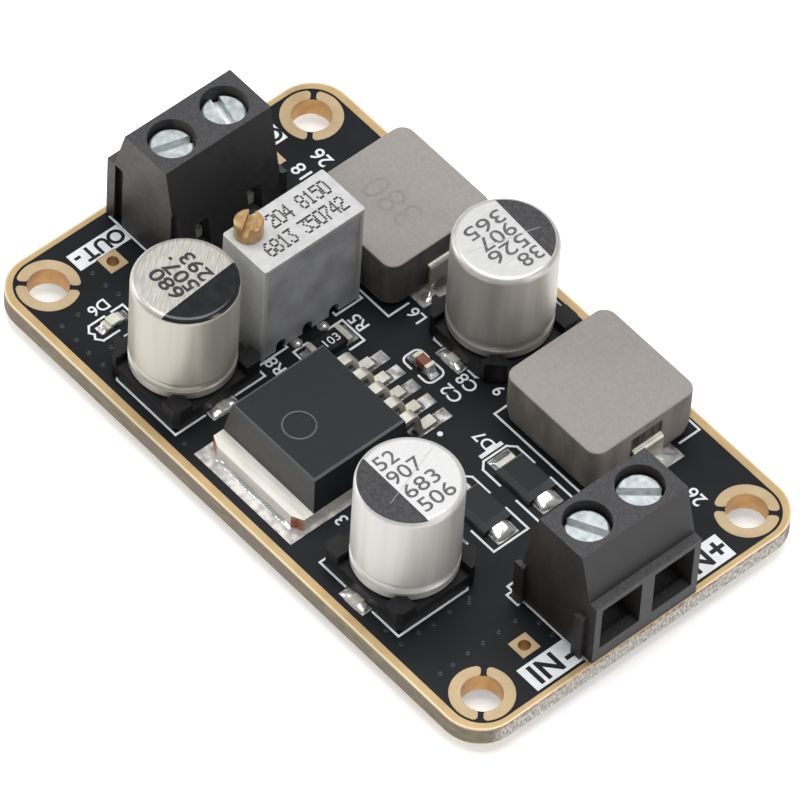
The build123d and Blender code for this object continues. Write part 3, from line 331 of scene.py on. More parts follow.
def board_material():
    """Black mask on the faces, routed laminate where the normal lies level.

    The long edges are smooth and blotched with a pale line under their rim,
    the ends are torn into pale fibre with a line of bare copper above. Both
    lines begin and end at depths below the board's top.
    """
    material = finish(
        "solder_mask", paint(17, 20, 24), paint(24, 27, 32), (0.34, 0.44), 0.22,
        bump=0.1, depth=0.01, shine=0.2,
    )
    tree = material.node_tree
    shader = tree.nodes["Principled BSDF"]
    upward = axis_value(tree, "Object", "Z")
    rim, bare = (
        ranged(tree, upward, 0.0, 1.0, (board_top - start) * MM, (board_top - end) * MM)
        for start, end in (pale_line, copper_band)
    )
    blotch = placed(tree, 0.9, (1, 1, 3), 3).outputs["Mask"]
    stain = placed(tree, 0.35, (1, 1, 2), 5).outputs["Mask"]
    cut = blended(tree, blotch, paint(128, 120, 102), paint(158, 148, 126))
    cut = blended(tree, stain, cut, paint(140, 130, 122))
    cut = blended(tree, rim, cut, paint(222, 200, 158))
    fibre = placed(tree, 5.5, (1, 1, 0.5), 4).outputs["Mask"]
    ragged = placed(tree, 2.5, (1, 1, 1), 4).outputs["Mask"]
    torn = blended(tree, fibre, paint(158, 152, 144), paint(230, 228, 222))
    copper = blended(tree, ragged, paint(150, 100, 70), paint(216, 198, 180))
    torn = blended(tree, bare, torn, copper)
    end = ranged(tree, axis_size(tree, "Normal", "X"), 0.0, 1.0, 0.9, 0.99)
    side = ranged(tree, axis_size(tree, "Normal", "Z"), 1.0, 0.0, 0.45, 0.55)
    recolour(material, side, blended(tree, end, cut, torn))
    dull = blended(tree, side, source_of(material, "Roughness"), cut_roughness, "VALUE")
    tree.links.new(dull, shader.inputs["Roughness"])
    return material


dress(board_material(), "circuit_board")


# Vias. Plated holes that join the copper of both faces. The black mask runs
# over them, so each shows as a shallow bump with a dimple.
def joined(name, shapes, material, body="board"):
    """One piece from several (points, faces) shapes, dressed and riding on a body."""
    starts = np.cumsum([0] + [len(points) for points, _ in shapes])
    points = np.concatenate([np.asarray(points, float) for points, _ in shapes])
    faces = [
        tuple(int(i + start) for i in face) for (_, each), start in zip(shapes, starts) for face in each
    ]
    piece = surface_piece(name, points, faces)
    piece.data.materials.append(material)
    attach(piece, body)
    return piece


def grid_faces(rows, columns, closed=False, capped=False):
    """Quads between neighbours on a grid of points, closed round its columns or open.

    capped adds one face over the last row.
    """
    last = columns if closed else columns - 1
    i, j = np.meshgrid(np.arange(rows - 1), np.arange(last), indexing="ij")
    here = i * columns + j
    beside = i * columns + (j + 1) % columns
    faces = np.stack([here, beside, beside + columns, here + columns], -1).reshape(-1, 4).tolist()
    return faces + [list(range((rows - 1) * columns, rows * columns))] if capped else faces


def smooth(piece):
    """Smooth shading over every face of a piece."""
    piece.data.polygons.foreach_set("use_smooth", [True] * len(piece.data.polygons))
    return piece


def round_bump(x, y, z, radius, rise, spokes):
    """Rings round x, y from the full radius in to a fiftieth of it, rise giving each ring's height."""
    share = np.linspace(1, 0.02, 8)[:, None]
    turn = np.linspace(0, 2 * np.pi, spokes, endpoint=False)[None, :]
    points = np.stack([
        x + radius * share * np.cos(turn), y + radius * share * np.sin(turn), z + rise(share) + 0 * turn,
    ], -1).reshape(-1, 3)
    return points, grid_faces(share.size, spokes, closed=True, capped=True)


via_radius = 0.22
via_height = 0.03
via_places = (
    (-22.7, -9.4), (-21.2, -9.4), (-20.0, -9.2), (-20.4, -12.7), (-16.6, -12.8), (-20.3, -14.3),
    (-18.7, -14.3), (-17.2, -14.4), (-15.7, -14.3), (-6.5, -14.4), (15.8, -6.5), (16.9, -7.8),
    (17.2, -8.1), (16.9, -9.7), (17.0, -11.3), (16.9, -12.6), (16.9, -14.2), (15.3, -14.2),
    (20.5, -6.6), (20.5, -8.2), (20.5, -9.7), (20.5, -11.1), (20.6, -12.6), (20.6, -13.8),
    (21.7, -5.4), (23.1, -5.4),
)


def via_rise(share):
    """Mask over a plated hole: via_height (1 - r^2) (0.35 + 2.6 r^2), a bump with a dimple."""
    return via_height * (1 - share ** 2) * (0.35 + 2.6 * share ** 2)


via_mask = finish(
    "via_mask", paint(24, 27, 32), paint(36, 40, 46), (0.26, 0.36), 1.5,
    bump=0.1, depth=0.005, shine=0.4,
)
via_shapes = [round_bump(x, y, board_top, via_radius, via_rise, spokes=16) for x, y in via_places]
smooth(joined("vias", via_shapes, via_mask))

# Plating. The border, the split rings and the tap pads are copper with a thin
# layer of gold, and the hole walls are plated through.
gold = finish(
    "gold_plating", paint(184, 160, 122), paint(200, 178, 142), (0.38, 0.5), 0.5,
    bump=0.12, depth=0.01, metal=0.35,
)
dress(gold, "mounting_rings", "tap_pads")
board_corner = 3.2
rub_and_gleam_width = (0.16, 0.08)


def worn_gleaming_border(material):
    """Border whose outer edge is painted pale: partly rubbed wear, partly a painted highlight where the
    rounded edge catches the light.

    How far a point lies outside the board's rounded outline is the length of
    the corner vector, abs(place) less the straight half sides, with its
    negative parts cut off, less the corner's radius.
    """
    tree = material.node_tree
    place = tree.nodes.new("ShaderNodeTexCoord").outputs["Object"]
    straight = (board_high.x - board_corner * MM, board_high.y - board_corner * MM, 1.0)
    inner = worked(
        tree, "SUBTRACT", worked(tree, "ABSOLUTE", place, vector=True), straight, vector=True,
    )
    outside = worked(tree, "MAXIMUM", inner, (0.0, 0.0, 0.0), vector=True)
    reach = worked(tree, "LENGTH", outside, vector=True)
    start, end = ((board_corner - width) * MM for width in rub_and_gleam_width)
    # Pale cream over the outer edge: rubbed wear and a painted highlight along it.
    recolour(material, ranged(tree, reach, 0.0, 1.0, start, end), paint(232, 215, 182))
    return material


border = finish(
    "gold_border", paint(188, 159, 112), paint(204, 177, 130), (0.38, 0.5), 0.5,
    bump=0.12, depth=0.01, metal=0.35,
)
dress(worn_gleaming_border(border), "edge_border")
barrel = finish(
    "hole_wall", paint(186, 138, 84), paint(222, 176, 114), (0.3, 0.45), 0.8,
    metal=0.6, bump=0.2, depth=0.01,
)
dress(barrel, "plated_barrels")

# Print. White ink laid on the mask through a screen: outlines of the parts,
# fields for the pole names and the small letters that name each place.
ink = finish(
    "board_ink", paint(224, 227, 230), paint(240, 242, 244), (0.5, 0.65), 1.2,
    bump=0.2, depth=0.006, shine=0.3,
)
dress(ink, "silkscreen")


def letter_shape(words, bold):
    """Points and faces of flat words at the font's own size, fattened by bold."""
    data = bpy.data.curves.new("words", "FONT")
    data.body = words
    data.offset = bold
    data.resolution_u = 4
    line = bpy.data.objects.new("words", data)
    bpy.context.scene.collection.objects.link(line)
    mesh = bpy.data.meshes.new_from_object(line)
    points = np.empty(len(mesh.vertices) * 3)
    mesh.vertices.foreach_get("co", points)
    faces = [tuple(face.vertices) for face in mesh.polygons]
    bpy.data.objects.remove(line)
    bpy.data.curves.remove(data)
    bpy.data.meshes.remove(mesh)
    return points.reshape(-1, 3), faces


capital_height = np.ptp(letter_shape("H", 0.0)[0][:, 1])


def turned(x, y, turn, along, across, z):
    """Points (n, 3) from lengths along and across, swung turn degrees from X about a middle at x, y."""
    angle = math.radians(turn)
    return np.stack([
        x + along * math.cos(angle) - across * math.sin(angle),
        y + along * math.sin(angle) + across * math.cos(angle),
        z + 0 * along,
    ], -1).reshape(-1, 3)


def words_shape(words, x, y, turn, height, z, length=None, bold=0.0):
    """Words laid flat at a height z, turned about Z, their middle at x, y.

    turn is the reading direction in degrees from X, height the capitals' own.
    length, where given, is how far the words run.
    """
    points, faces = letter_shape(words, bold)
    scale = height / capital_height
    low, high = points[:, 0].min(), points[:, 0].max()
    across = length / (high - low) if length else scale
    run = (points[:, 0] - (low + high) / 2) * across
    rise = points[:, 1] * scale - height / 2
    return turned(x, y, turn, run, rise, z), faces


# Words, the x and y of their middle, their reading direction and their height.
mark_z = board_top + 0.035
board_words = (
    ("D6", -19.9, -11.2, -90, 0.95), ("R5", -6.9, 2.5, 180, 1.0), ("C2", 2.3, 3.4, 180, 1.0),
    ("C8", 2.3, 4.9, 180, 1.0), ("L6", -4.7, 6.2, 180, 1.0), ("D7", 7.0, 2.35, 180, 0.95),
    ("R8", -7.7, -4.8, 180, 1.0), ("9", 4.3, 6.2, 180, 0.95), ("3", 5.9, -10.3, 180, 1.0),
    ("26", 20.5, 10.7, 180, 1.1), ("18", -20.3, 8.6, 180, 1.15), ("26", -20.3, 10.6, 180, 1.15),
)
word_shapes = [words_shape(*each, mark_z, bold=0.012) for each in board_words]
joined("board_words", word_shapes, ink)
# Pole names with their x, reading direction and height, and the y of each letter.
pole_names = (
    ("IN-", 25.0, 90, 1.65, (-8.72, -7.4, -5.75)), ("IN+", 24.95, 90, 1.65, (5.75, 7.05, 8.75)),
    ("OUT-", -24.2, -90, 1.2, (-5.95, -7.2, -8.4, -9.4)), ("OUT+", -24.2, -90, 1.2, (9.3, 8.05, 6.85, 5.85)),
)
field_shapes = [
    words_shape(letter, x, y, turn, height, mark_z, bold=0.03)
    for name, x, turn, height, rows in pole_names for letter, y in zip(name, rows)
]
field_mask = finish(
    "field_mask", paint(18, 21, 26), paint(28, 31, 36), (0.4, 0.5), 1.0,
    bump=0.1, depth=0.005, shine=0.25,
)
joined("pole_names", field_shapes, field_mask)


# Solder. Tin that has flowed over the lands and up the leads: dull and mottled
# where it is thin, bright and smooth where it stands in pools.
def crossed(tree, *masks):
    """Product of masks, high only where all of them are."""
    product = masks[0]
    for mask in masks[1:]:
        product = worked(tree, "MULTIPLY", product, mask)
    return product


land_tin = finish(
    "land_tin", paint(168, 166, 164), paint(226, 224, 220), (0.34, 0.5), 1.6,
    bump=0.5, depth=0.03, metal=0.4, contrast=3.5,
)
tree = land_tin.node_tree
stains = placed(tree, 1.1, contrast=4).outputs["Mask"]
beyond_tab = ranged(tree, axis_value(tree, "Object", "Y"), 0.0, 1.0, -9.5 * MM, -8.5 * MM)
recolour(land_tin, crossed(tree, stains, beyond_tab), paint(104, 104, 105))
dress(land_tin, "solder_lands")
solder = finish(
    "solder", paint(196, 196, 195), paint(250, 249, 246), (0.12, 0.24), 0.45,
    bump=0.4, depth=0.06, metal=0.8, contrast=4,
)
dress(solder, "pin_solder")
tinned = finish(
    "tinned_metal", paint(206, 202, 190), paint(232, 228, 216), (0.28, 0.4), 0.7,
    bump=0.15, depth=0.02, metal=0.7,
)
seat = board_top + 0.05


def solder_pool(x, y, turn, wall, edge, lead, land, climb, swell):
    """Solder that runs from a lead's end wall out to its land's edge.

    Out from the wall u runs from 0 to 1 and across it v from -1 to 1. The half
    width grows from the lead's to the land's as u rises and rounds off at the
    edge. The height is climb (1 - u)^2.2 + swell (1 - u^4), times (1 - v^4)^0.6.
    """
    u = np.linspace(0, 1, 15)[:, None]
    v = np.linspace(-1, 1, 17)[None, :]
    spread = np.clip(u / 0.45, 0, 1)
    half = lead + (land - lead) * spread ** 0.6
    half = half * np.sqrt(1 - np.clip((u - 0.7) / 0.33, 0, 1) ** 2)
    rise = climb * (1 - u) ** 2.2 + swell * (1 - u ** 4)
    height = rise * (1 - v ** 4) ** 0.6
    along = wall + u * (edge - wall) + 0 * v
    faces = [face[::-1] for face in grid_faces(u.size, v.size)]
    return turned(x, y, turn, along, half * v, seat + height), faces


# Places of the parts. A can has x, y and turn, a chip those and its end wall
# from its middle, its half width and how high the solder climbs.
cans = {"output": (-11.72, -10.2, 0), "filter": (0.05, 10.0, 90), "input": (12.03, -9.7, -90)}
coils = {"input": 10.93, "output": -11.17}
coil_y = 9.83
diode_x = 11.7
diode_rows = (2.2, -2.1)
chips = {
    "resistor": (-6.6, -0.58, 90, 1.58, 0.78, 0.4), "capacitor": (-0.84, 3.5, 0, 0.78, 0.42, 0.5),
    "indicator": (-18.2, -11.3, 90, 0.78, 0.42, 0.22),
}
chip_reach = 0.54
chip_swell = 0.06
tab_edge_y = -13.5
lead_columns = [1.7 * i for i in (-2, -1, 0, 1, 2)]
lead_end_y = 0.66
lead_half = 0.42
# Pools: wall and edge from the part's middle, half widths at lead and land,
# climb and swell.
can_pool = (4.2, 5.12, 1.05, 1.2, 0.0, 0.24)
coil_pool = (5.4, 6.3, 1.45, 2.2, 0.75, 0.12)
diode_near_pool = (1.86, 3.02, 0.85, 0.96, 0.12, 0.36)
diode_far_pool = (2.43, 3.02, 0.85, 0.95, 0.2, 0.1)
tab_pool = (-0.02, 0.3, 4.0, 4.2, 0.22, 0.02)
lead_end_pool = (0, 0.5, 0.42, 0.46, 0.3, 0.03)
lead_side_pool = (0, 0.1, 0.6, 0.6, 0.2, 0.02)
pools = [solder_pool(x, y, turn + way, *can_pool) for x, y, turn in cans.values() for way in (0, 180)]
pools += [solder_pool(x, coil_y, way, *coil_pool) for x in coils.values() for way in (0, 180)]
for y in diode_rows:
    pools.append(solder_pool(diode_x, y, 0, *diode_near_pool))
    pools.append(solder_pool(diode_x, y, 180, *diode_far_pool))
for x, y, turn, wall, half, climb in chips.values():
    for way in (0, 180):
        pools.append(solder_pool(
            x, y, turn + way, wall, wall + chip_reach, half, half, climb, chip_swell,
        ))
pools.append(solder_pool(0, tab_edge_y, -90, *tab_pool))
for x in lead_columns:
    pools.append(solder_pool(x, lead_end_y, 90, *lead_end_pool))
    for side in (-1, 1):
        pools.append(solder_pool(x + side * lead_half, 0.0, 90 - side * 90, *lead_side_pool))
spot_radius = 0.42
spot_height = 0.3
spot_places = ((-8.2, 0.32), (-8.2, -2.22))


def spot_rise(share):
    """Dome of solder on a round land: spot_height (1 - r^2)^0.7."""
    return spot_height * (1 - share ** 2) ** 0.7


pools += [round_bump(x, y, seat, spot_radius, spot_rise, spokes=20) for x, y in spot_places]
pool_piece = smooth(joined("solder_pools", pools, solder))
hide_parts("solder_joints")

# Terminal blocks. Black moulded housings with slotted zinc-plated screws that
# draw a steel clamp up against the tinned contact inside.
housing = finish(
    "terminal_plastic", paint(41, 41, 42), paint(52, 51, 53), (0.42, 0.56), 1.6,
    bump=0.35, depth=0.02, shine=0.4,
)
tree = housing.node_tree
speck = placed(tree, 5, (1, 1, 1), 4).outputs["Mask"]
# The tops are painted lighter than the walls, with fine specks: painted light from the lamp overhead.
lit_top_face = ranged(tree, axis_value(tree, "Normal", "Z"), 0.0, 1.0, 0.3, 0.8)
recolour(housing, lit_top_face, blended(tree, speck, paint(56, 56, 58), paint(72, 72, 74)))
# The wall at the board's near edge is painted a grey that grows paler towards the top at the output end, and
# is near black with a brown cast at the input end.
wall_mottle = placed(tree, 0.22, (1, 1, 0.6), 3.5).outputs["Mask"]
end_wall = ranged(tree, axis_value(tree, "Normal", "Y"), 1.0, 0.0, -0.95, -0.6)
output_half = ranged(tree, axis_value(tree, "Object", "X"), 1.0, 0.0, -1 * MM, 1 * MM)
high = ranged(tree, axis_value(tree, "Object", "Z"), 0.0, 1.0, 4 * MM, 9.5 * MM)
hazy = blended(tree, wall_mottle, paint(72, 70, 68), paint(102, 98, 93))
paler_upward_grey = blended(tree, high, paint(44, 43, 43), hazy)
brown_cast = blended(tree, wall_mottle, paint(34, 33, 34), paint(55, 47, 43))
recolour(housing, end_wall, blended(tree, output_half, brown_cast, paler_upward_grey))
zinc = finish(
    "zinc_steel", paint(168, 177, 180), paint(222, 229, 230), (0.28, 0.42), 1.6,
    bump=0.4, depth=0.04, metal=0.55,
)
# The floors of the screws' slots lie level, just under the heads' faces, and are painted near white, brighter
# than the faces: a painted highlight that lifts the shade in the slots.
tree = zinc.node_tree
screw_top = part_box("input_screw_negative")[1].z
slot_start, slot_full = screw_top - 0.1 * MM, screw_top - 0.2 * MM
sunk = ranged(tree, axis_value(tree, "Object", "Z"), 1.0, 0.0, slot_full, slot_start)
level = ranged(tree, axis_value(tree, "Normal", "Z"), 0.0, 1.0, 0.7, 0.9)
recolour(zinc, crossed(tree, sunk, level), paint(250, 252, 252))
contact_tin = finish(
    "contact_tin", paint(206, 205, 198), paint(230, 229, 222), (0.35, 0.5), 1.0,
    bump=0.1, depth=0.01, metal=0.35,
)
for end in ("input", "output"):
    dress(housing, f"{end}_terminal_housing")
    dress(contact_tin, f"{end}_terminal_contacts")
    for pole in ("negative", "positive"):
        dress(zinc, f"{end}_screw_{pole}", f"{end}_clamp_{pole}")


# Can capacitors. Drawn aluminium cans rolled on to a rubber plug, printed on
# top, in moulded bases with flat leads bent out below.
def can_material(name, low, high, top_low, top_high, rough, turn):
    """Drawn metal: faint streaks down the wall, and a brushed top where the normal stands up."""
    material = finish(
        name, low, high, rough, 0.6,
        bump=0.12, depth=0.01, metal=0.5, stretch=(2.5, 2.5, 0.15), contrast=1.5,
    )
    tree = material.node_tree
    brushed = placed(tree, 2.4, (4, 0.3, 1), 3, turn).outputs["Mask"]
    top = ranged(tree, axis_size(tree, "Normal", "Z"), 0.0, 1.0, 0.9, 0.97)
    recolour(material, top, blended(tree, brushed, top_low, top_high))
    return material


can_finishes = {
    "output": can_material(
        "can_cream", paint(194, 190, 179), paint(210, 206, 196), paint(168, 166, 160), paint(212, 209, 200),
        (0.32, 0.42), turn=-40,
    ),
    "filter": can_material(
        "can_grey", paint(194, 190, 184), paint(214, 210, 205), paint(206, 206, 205), paint(218, 218, 217),
        (0.36, 0.46), turn=0,
    ),
    "input": can_material(
        "can_white", paint(214, 212, 208), paint(228, 226, 223), paint(210, 210, 209), paint(221, 221, 221),
        (0.42, 0.52), turn=0,
    ),
}
base_plastic = finish(
    "base_plastic", paint(20, 20, 22), paint(30, 30, 33), (0.4, 0.55), 1.2,
    bump=0.3, depth=0.02, shine=0.3,
)
for use in ("output", "filter", "input"):
    dress(can_finishes[use], f"{use}_capacitor_can")
    dress(base_plastic, f"{use}_capacitor_base")
    dress(tinned, f"{use}_capacitor_leads")
can_height = 10.45
can_radius = 4.0
can_edge_radius = 0.5
ink_lift = 0.012
can_face = seat + can_height + ink_lift
gloss_ink = finish(
    "gloss_can_ink", paint(26, 27, 30), paint(36, 37, 41), (0.12, 0.2), 1.0,
    bump=0.1, depth=0.005, shine=0.5,
)
matt_ink = finish(
    "matt_can_ink", paint(58, 58, 60), paint(78, 78, 80), (0.5, 0.65), 5.0,
    bump=0.3, depth=0.006, contrast=6, shine=0.3,
)
# Half-moons: the ink, the direction of the chord's outer side, how far the
# chord lies from the middle, and the angle over the edge where the ink ends.
print_marks = {
    "output": (gloss_ink, 4.6, 1.29, 60), "filter": (matt_ink, 86.5, 1.58, 12),
    "input": (matt_ink, -90.5, 1.37, 38),
}


def can_mark(x, y, facing, away, wrap):
    """Ink on one side of a chord of the can's top, and a little way over its rounded edge.

    On the flat, each point lies between the chord, away from the middle, and
    the circle where the edge begins. Over the edge, the radius grows by
    edge sin(p) and the height falls by edge (1 - cos(p)) while p runs to wrap.
    Each row ends where the chord's line meets its radius.
    """
    flat = can_radius - can_edge_radius
    u = np.linspace(-1, 1, 41)[None, :]
    v = np.linspace(0, 1, 9)[:, None]
    half = math.acos(away / flat)
    out_x = away + v * (flat * np.cos(u * half) - away)
    out_y = u * flat * math.sin(half) * (1 - v) + v * flat * np.sin(u * half)
    bend = np.radians(np.linspace(0, wrap, 9)[1:])[:, None]
    reach = flat + can_edge_radius * np.sin(bend)
    spread = u * np.arccos(away / reach)
    out_x = np.concatenate([out_x, reach * np.cos(spread)])
    out_y = np.concatenate([out_y, reach * np.sin(spread)])
    drop = np.concatenate([0 * v, can_edge_radius * (1 - np.cos(bend))]) + 0 * u
    return turned(x, y, facing, out_x, out_y, can_face - drop), grid_faces(out_x.shape[0], u.size)


for use, (mark_ink, facing, away, wrap) in print_marks.items():
    x, y = cans[use][:2]
    mark = smooth(joined(
        f"{use}_can_mark", [can_mark(x, y, facing, away, wrap)], mark_ink,
    ))
    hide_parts(f"{use}_capacitor_mark")
bold_ink = finish("bold_ink", paint(34, 34, 36), paint(48, 48, 50), (0.4, 0.5), 3.0, bump=0.1, depth=0.004)
pale_ink = finish(
    "pale_ink", paint(76, 76, 78), paint(108, 108, 110), (0.4, 0.5), 4.0,
    bump=0.1, depth=0.004, contrast=4,
)
# Numbers: the ink, reading direction, height and how bold, then each row with
# the x and y of its middle and its length.
can_numbers = {
    "output": (bold_ink, 180, 1.12, 0.022, (
        ("680", -12.25, -11.55, 3.1), ("507.", -12.3, -10.3, 3.4), ("293", -12.1, -8.9, 2.8),
    )),
    "filter": (pale_ink, -90, 1.2, 0.006, (
        ("38", 2.38, 10.3, 1.9), ("526", 0.9, 9.5, 3.4), ("907", -0.48, 9.6, 3.2),
        ("365", -1.85, 9.6, 3.4),
    )),
    "input": (pale_ink, 90, 1.2, 0.006, (
        ("52", 9.65, -9.95, 1.8), ("907", 11.2, -9.5, 2.85), ("683", 12.8, -9.35, 3.0),
        ("506", 14.35, -9.25, 3.0),
    )),
}
for use, (number_ink, turn, height, bold, rows) in can_numbers.items():
    joined(
        f"{use}_can_numbers",
        [words_shape(row, x, y, turn, height, can_face, length, bold) for row, x, y, length in rows],
        number_ink,
    )
score_lift = 0.004


def score_line(start, end, width=0.035, height=0.003):
    """Low ridge with a roof section along a straight line on a can's top."""
    start, end = np.array(start), np.array(end)
    along = (end - start) / np.linalg.norm(end - start)
    across = np.array((-along[1], along[0])) * width / 2
    low = can_face + score_lift
    points = []
    for tip in (start, end):
        points += [(*(tip - across), low), (*tip, low + height), (*(tip + across), low)]
    return points, [(0, 3, 4, 1), (1, 4, 5, 2)]


score_metal = finish(
    "score_metal", paint(176, 176, 174), paint(196, 196, 194), (0.3, 0.4), 2.0, metal=0.3, bump=0.1,
)
joined(
    "score_lines", [score_line((0.8, 12.6), (-0.75, 7.0)), score_line((10.9, -6.6), (12.75, -12.2))],
    score_metal,
)

# Trimmer. A pale moulded case with its open side potted in grey resin, and a
# brass screw on top that turns the wiper's wheel. Its numbers are dotted on.
case = finish(
    "trimmer_plastic", paint(194, 195, 194), paint(210, 211, 210), (0.38, 0.5), 1.4,
    bump=0.2, depth=0.01, shine=0.35,
)
tree = case.node_tree
# The walls that face +X are painted a darker grey: painted shade, where they turn away from the lamp
# overhead.
shaded_long_wall = ranged(tree, axis_value(tree, "Normal", "X"), 0.0, 1.0, 0.6, 0.9)
recolour(case, shaded_long_wall, paint(166, 166, 164))
potting = finish(
    "trimmer_potting", paint(132, 133, 136), paint(160, 161, 164), (0.4, 0.55), 0.5,
    bump=0.25, depth=0.02,
)
brass = finish(
    "turned_brass", paint(166, 128, 82), paint(204, 170, 122), (0.28, 0.4), 2.2,
    metal=0.6, bump=0.3, depth=0.02, contrast=2,
)
seal = finish("seal_rubber", paint(22, 22, 22), paint(34, 34, 34), (0.5, 0.7), 2.0, bump=0.2)
nylon = finish("wheel_nylon", paint(214, 210, 196), paint(228, 224, 212), (0.4, 0.5), 1.0, bump=0.1)
dress(case, "trimmer_housing")
dress(potting, "trimmer_cover")
dress(brass, "trimmer_screw")
dress(seal, "trimmer_seal")
dress(nylon, "trimmer_wheel", "trimmer_element")
dress(tinned, "trimmer_pins")
dot_digits = {
    "0": "01110 10001 10001 10001 10001 10001 01110", "1": "00100 01100 00100 00100 00100 00100 01110",
    "2": "01110 10001 00001 00110 01000 10000 11111", "3": "11111 00010 00100 00010 00001 10001 01110",
    "4": "00010 00110 01010 10010 11111 00010 00010", "5": "11111 10000 11110 00001 00001 10001 01110",
    "6": "00110 01000 10000 11110 10001 10001 01110", "7": "11111 00001 00010 00100 01000 01000 01000",
    "8": "01110 10001 10001 01110 10001 10001 01110", "9": "01110 10001 10001 01111 00001 00010 01100",
}
dot_pitch_up = 0.2
dot_pitch_along = 0.13
dot_radius = 0.1
dot_sides = 8
dot_lift = 0.008
case_height = 10.4
dot_z = seat + case_height + dot_lift
# Numbers, the x of their middle row, the y where they begin and the step
# from digit to digit.
dot_numbers = (
    ("204", -11.85, -2.15, 0.7), ("8150", -11.85, 0.65, 0.7), ("6813", -9.95, -4.05, 0.68),
    ("350742", -9.95, -0.65, 0.68),
)


def dotted(number, x, y, step):
    """Numbers of small round dots, five by seven to a digit, that read along Y."""
    turn = np.linspace(0, 2 * np.pi, dot_sides, endpoint=False)
    shapes = []
    for place, digit in enumerate(number):
        lit = np.array([[int(c) for c in row] for row in dot_digits[digit].split()])
        for down, side in np.argwhere(lit):
            dot_x = x + (down - 3) * dot_pitch_up
            dot_y = y + place * step + side * dot_pitch_along
            points = np.stack([
                dot_x + dot_radius * np.cos(turn), dot_y + dot_radius * np.sin(turn), dot_z + 0 * turn,
            ], -1)
            shapes.append((points, [tuple(range(dot_sides))]))
    return shapes


dot_ink = finish(
    "dot_ink", paint(44, 44, 46), paint(70, 70, 72), (0.5, 0.6), 4.0, bump=0.1, depth=0.004, contrast=4,
)
dots = [shape for each in dot_numbers for shape in dotted(*each)]
joined("trimmer_numbers", dots, dot_ink)

# Regulator. A black moulded body on a tinned copper tab that is soldered down
# as a heat sink, with five leads bent down to the board.
moulding = finish(
    "regulator_plastic", paint(26, 29, 33), paint(34, 37, 41), (0.45, 0.6), 2.2,
    bump=0.35, depth=0.015, shine=0.3,
)
# The wall over the tab and the slopes round the top are painted a paler grey: a painted reflection on the
# wall and a painted highlight along the slopes.
tree = moulding.node_tree
near_wall = ranged(tree, axis_value(tree, "Normal", "Y"), 1.0, 0.0, -0.95, -0.6)
recolour(moulding, near_wall, paint(80, 80, 79))
upward = axis_value(tree, "Normal", "Z")
steep, flat = ranged(tree, upward, 0.0, 1.0, 0.3, 0.5), ranged(tree, upward, 1.0, 0.0, 0.92, 0.97)
recolour(moulding, crossed(tree, steep, flat), paint(92, 95, 98))
dress(moulding, "regulator_body")
dress(tinned, "regulator_leads")
regulator_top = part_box("regulator_body")[1].z / MM
ejector_place = (0.0, -9.34)
ejector_radius = 1.24


def ejector_rim(x, y, radius, width=0.16, rise=0.02, sink=0.004):
    """Low round-topped ridge: its height over the ring's width is rise (1 - v^2)."""
    v = np.linspace(-1, 1, 5)[:, None]
    turn = np.linspace(0, 2 * np.pi, 48, endpoint=False)[None, :]
    reach = radius + v * width / 2
    points = np.stack([
        x + reach * np.cos(turn), y + reach * np.sin(turn),
        regulator_top - sink + rise * (1 - v ** 2) + 0 * turn,
    ], -1).reshape(-1, 3)
    return points, [face[::-1] for face in grid_faces(v.size, turn.size, closed=True)]


rim_plastic = finish(
    "ejector_rim", paint(70, 73, 76), paint(96, 99, 102), (0.4, 0.55), 1.5, bump=0.2, depth=0.005,
)
smooth(joined(
    "ejector_mark", [ejector_rim(*ejector_place, ejector_radius)], rim_plastic,
))
tab = finish(
    "tab_tin", paint(222, 218, 209), paint(246, 243, 236), (0.34, 0.48), 1.2,
    bump=0.3, depth=0.02, metal=0.2, stretch=(0.25, 2.5, 2.5),
)
# The tab's slanted corners are cut after tinning, so the copper shows there.
tree = tab.node_tree
across = axis_size(tree, "Normal", "X")
slanted = crossed(tree, ranged(tree, across, 0.0, 1.0, 0.3, 0.4), ranged(tree, across, 1.0, 0.0, 0.6, 0.8))
bare = placed(tree, 1.5, contrast=5).outputs["Mask"]
recolour(tab, slanted, blended(tree, bare, paint(160, 84, 58), paint(200, 150, 118)))
dress(tab, "regulator_tab")

# Diodes. Two flat rectifiers in the regulator's kind of black plastic, each
# with a tinned lead folded under both ends.
dress(moulding, "first_diode_body", "second_diode_body")
dress(tinned, "first_diode_leads", "second_diode_leads")

# Inductors. Metal powder pressed round a coil, matt grey on top where it is
# coated, with tinned straps that come out of the end walls.
coil_height = 4.75
# Half side, corner radius and height of the body's outline, from the underside
# up and in over the rounded rim.
block_levels = np.array([
    (4.9, 1.25, 0.25), (4.96, 1.15, 0.8), (5.0, 1.05, 1.5), (5.0, 1.05, 4.6), (4.986, 1.04, 4.68),
    (4.94, 1.0, 4.735), (4.88, 0.95, coil_height), (4.7, 0.9, coil_height),
])


def pressed_block(x):
    """Pressed body: a rounded square carried up from its underside to its top.

    Its outline runs round four quarter arcs. Each point is the arc's middle,
    half side less radius to both sides, plus the radius along its direction.
    """
    half, radius, height = (column[:, None] for column in block_levels.T)
    quarter = np.linspace(0, np.pi / 2, 9)
    turn = (np.arange(4)[:, None] * np.pi / 2 + quarter).reshape(1, -1)
    side_x = np.repeat([1, -1, -1, 1], quarter.size)[None, :]
    side_y = np.repeat([1, 1, -1, -1], quarter.size)[None, :]
    points = np.stack([
        x + side_x * (half - radius) + radius * np.cos(turn),
        coil_y + side_y * (half - radius) + radius * np.sin(turn),
        seat + height + 0 * turn,
    ], -1).reshape(-1, 3)
    faces = grid_faces(half.size, turn.size, closed=True, capped=True)
    faces.append(list(range(turn.size))[::-1])
    return points, faces


